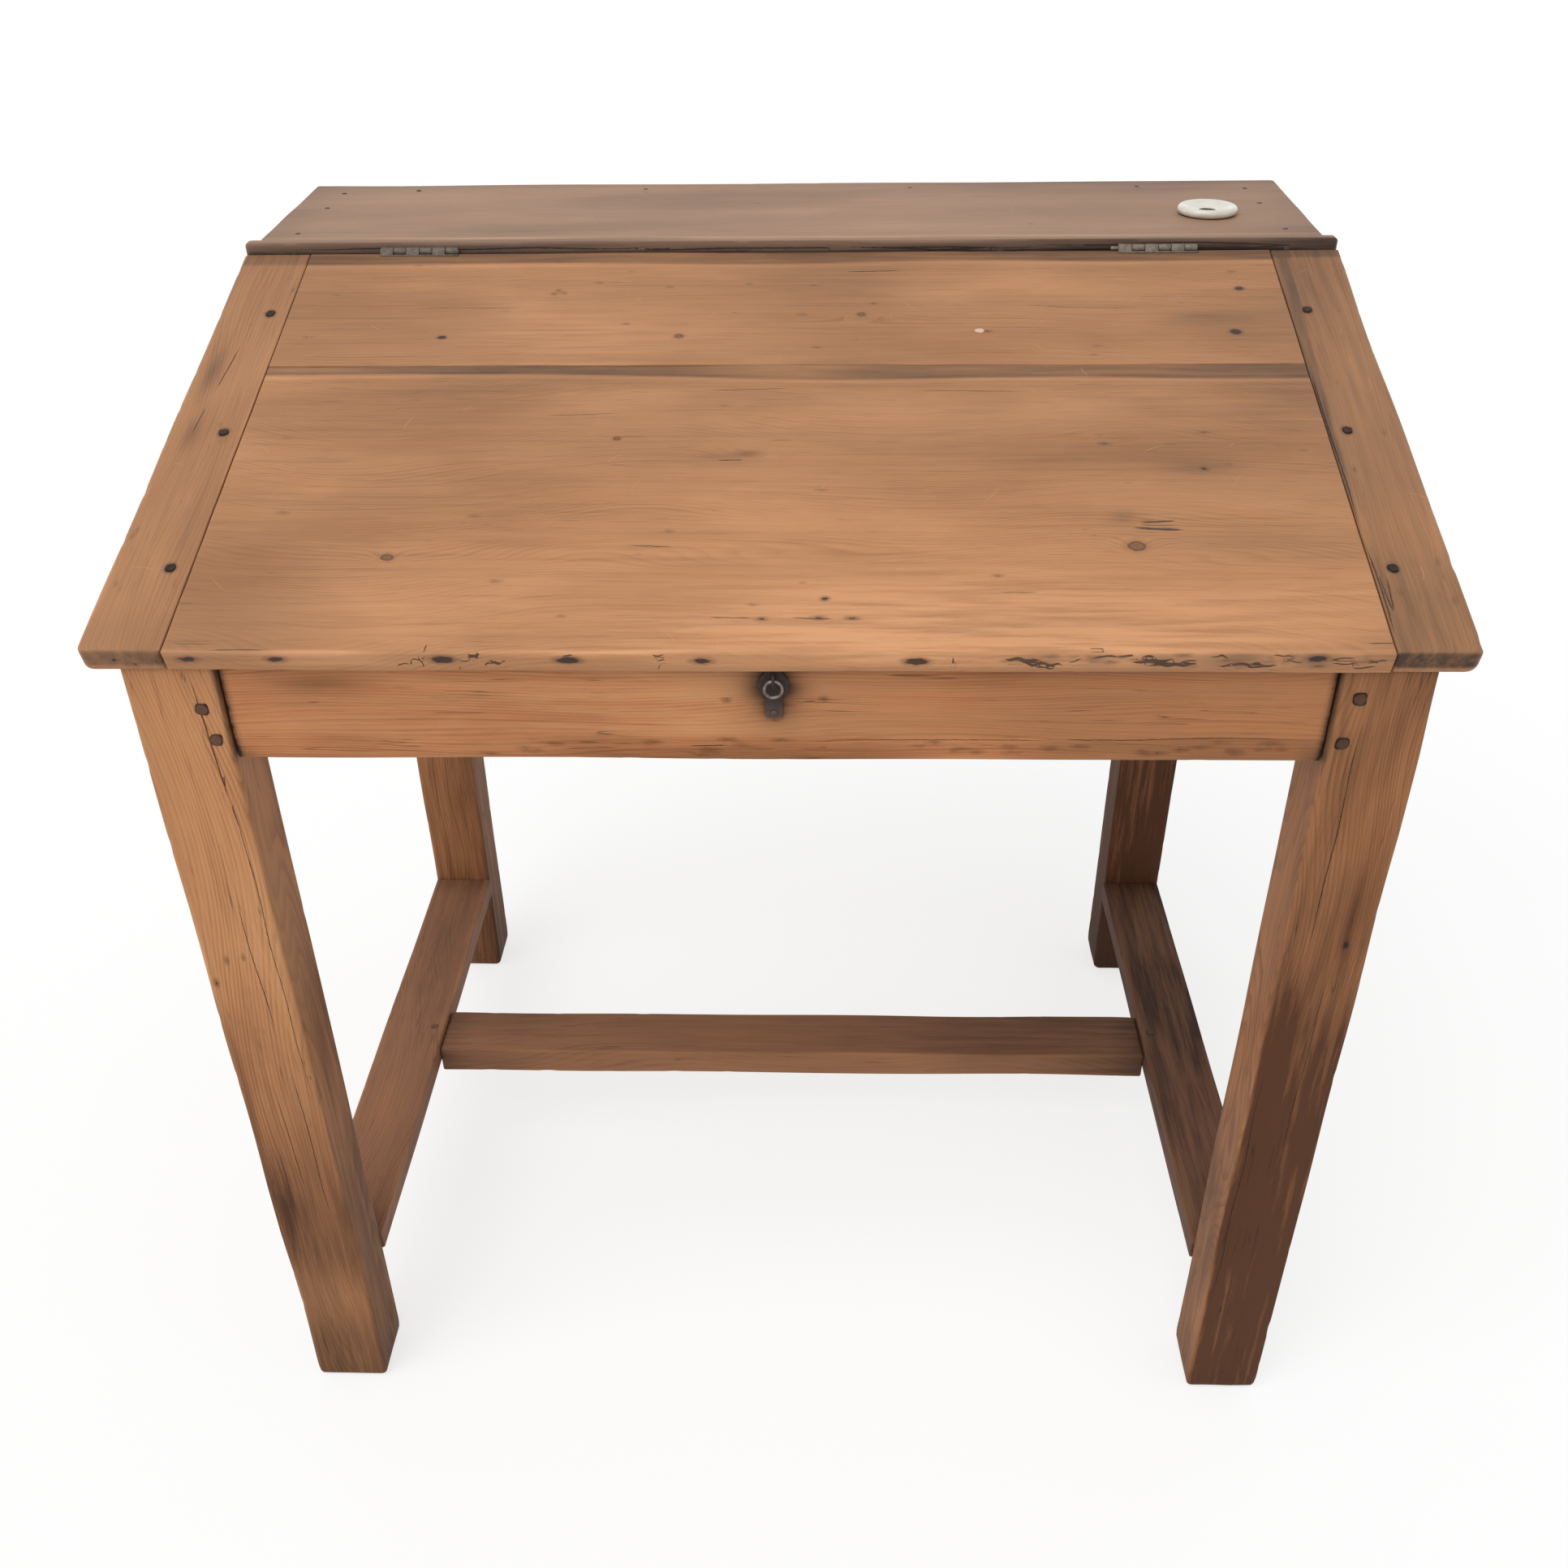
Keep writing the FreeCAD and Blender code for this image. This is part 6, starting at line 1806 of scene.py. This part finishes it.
class DESK_OT_stage(Operator):
    """Pale floor, soft light from all round and one soft lamp, and the camera"""

    bl_idname = "desk.stage"
    bl_label = "Stage"

    def execute(self, context):
        stage = context.scene.desk_stage
        self.floor(stage, context.scene.desk_colours)
        self.light(stage)
        self.camera(stage)
        context.scene.view_settings.view_transform = "Standard"
        return {"FINISHED"}

    @staticmethod
    def floor(stage, tint):
        """A level floor that reads as white to the camera and still takes the desk's shadow."""
        half = stage.floor_size / 2.0
        corners = half * np.array(((-1, -1, 0), (1, -1, 0), (1, 1, 0), (-1, 1, 0)))
        mesh = build_mesh("floor", corners, np.array(((0, 1, 2, 3),)), np.empty((0, 3), int))
        ground = add_object("floor", mesh)
        paint = Finish("finish_floor")
        seen = paint.seen()
        paint.set("Roughness", 0.9)
        paint.set("Specular IOR Level", 0.0)
        paint.set("Base Color", paint.blend(seen, level(tint.floor), SEEN_FLOOR))
        paint.set("Emission Color", WHITE)
        paint.set("Emission Strength", paint.times(seen, FLOOR_GLOW))
        mesh.materials.append(paint.material)

    @staticmethod
    def light(stage):
        """Even light from all round, white where it is seen, and a wide sun from the upper front left."""
        world = bpy.data.worlds.new("studio")
        bpy.context.scene.world = world
        world.use_nodes = True
        sky = Wiring(world.node_tree)
        glow = world.node_tree.nodes["Background"].inputs
        strength = sky.node("ShaderNodeMapRange", {0: sky.seen(), 3: stage.sky, 4: 1.0})
        sky.feed(glow["Color"], WHITE)
        sky.feed(glow["Strength"], strength.outputs[0])
        lamp = bpy.data.lights.new("soft_lamp", "SUN")
        lamp.energy = stage.lamp
        lamp.angle = stage.lamp_spread
        holder = add_object("soft_lamp", lamp)
        away = unit(LAMP_WAY)
        side = unit(np.cross(UP, away))
        holder.matrix_world = frame_matrix(side, np.cross(away, side), away, LAMP_DISTANCE * away)

    @staticmethod
    def camera(stage):
        """A camera at the viewer's place, turned by yaw, pitch and roll, with its optical centre shifted."""
        yaw, pitch, roll = stage.camera_yaw, stage.camera_pitch, stage.camera_roll
        ahead = np.array((math.sin(yaw) * math.cos(pitch), math.cos(yaw) * math.cos(pitch), math.sin(pitch)))
        level_side = np.array((math.cos(yaw), -math.sin(yaw), 0.0))
        upright = np.cross(level_side, ahead)
        side = math.cos(roll) * level_side + math.sin(roll) * upright
        top = math.cos(roll) * upright - math.sin(roll) * level_side
        lens = bpy.data.cameras.new("viewer")
        lens.sensor_width = SENSOR_MM
        lens.lens = lens.sensor_width * stage.focal_pixels / stage.picture_pixels
        half = stage.picture_pixels / 2.0
        lens.shift_x = (half - stage.centre_pixel[0]) / stage.picture_pixels
        lens.shift_y = (stage.centre_pixel[1] - half) / stage.picture_pixels
        lens.clip_end = 2.0 * stage.floor_size
        viewer = add_object("viewer", lens)
        viewer.matrix_world = frame_matrix(side, top, -ahead, np.array(stage.camera_place))
        bpy.context.scene.camera = viewer


def frame_matrix(first, second, third, place):
    """A matrix from three axes and a place."""
    rows = np.eye(4)
    rows[:3, :4] = np.stack([first, second, third, place], axis=1)
    return Matrix(rows.tolist())


OPERATORS = (
    DESK_OT_legs, DESK_OT_apron, DESK_OT_panels, DESK_OT_stretchers, DESK_OT_floor_boards, DESK_OT_shelf,
    DESK_OT_lid, DESK_OT_pegs, DESK_OT_nails, DESK_OT_hinges, DESK_OT_pull, DESK_OT_inkwell, DESK_OT_stage,
)


class DESK_PT_parts(Panel):
    """Lists the desk's pieces and its settings in the 3D view's sidebar"""

    bl_idname = "DESK_PT_parts"
    bl_label = "Slope-top desk"
    bl_space_type = "VIEW_3D"
    bl_region_type = "UI"
    bl_category = "Desk"

    def draw(self, context):
        for operator in OPERATORS:
            self.layout.operator(operator.bl_idname)
        for settings in (context.scene.desk_wear, context.scene.desk_colours, context.scene.desk_stage):
            column = self.layout.column()
            for name in settings.__annotations__:
                column.prop(settings, name)


CLASSES = (DeskColours, DeskWear, DeskStage, *OPERATORS, DESK_PT_parts)


def register():
    """Adds the classes to Blender and the settings to the scene."""
    for item in CLASSES:
        bpy.utils.register_class(item)
    bpy.types.Scene.desk_colours = PointerProperty(type=DeskColours)
    bpy.types.Scene.desk_wear = PointerProperty(type=DeskWear)
    bpy.types.Scene.desk_stage = PointerProperty(type=DeskStage)


def unregister():
    """Takes the settings and classes away again."""
    for name in ("desk_stage", "desk_wear", "desk_colours"):
        delattr(bpy.types.Scene, name)
    for item in reversed(CLASSES):
        bpy.utils.unregister_class(item)


def main():
    """Makes every piece in order."""
    register()
    for operator in OPERATORS:
        group, name = operator.bl_idname.split(".")
        getattr(getattr(bpy.ops, group), name)()


if __name__ == "__main__":
    main()
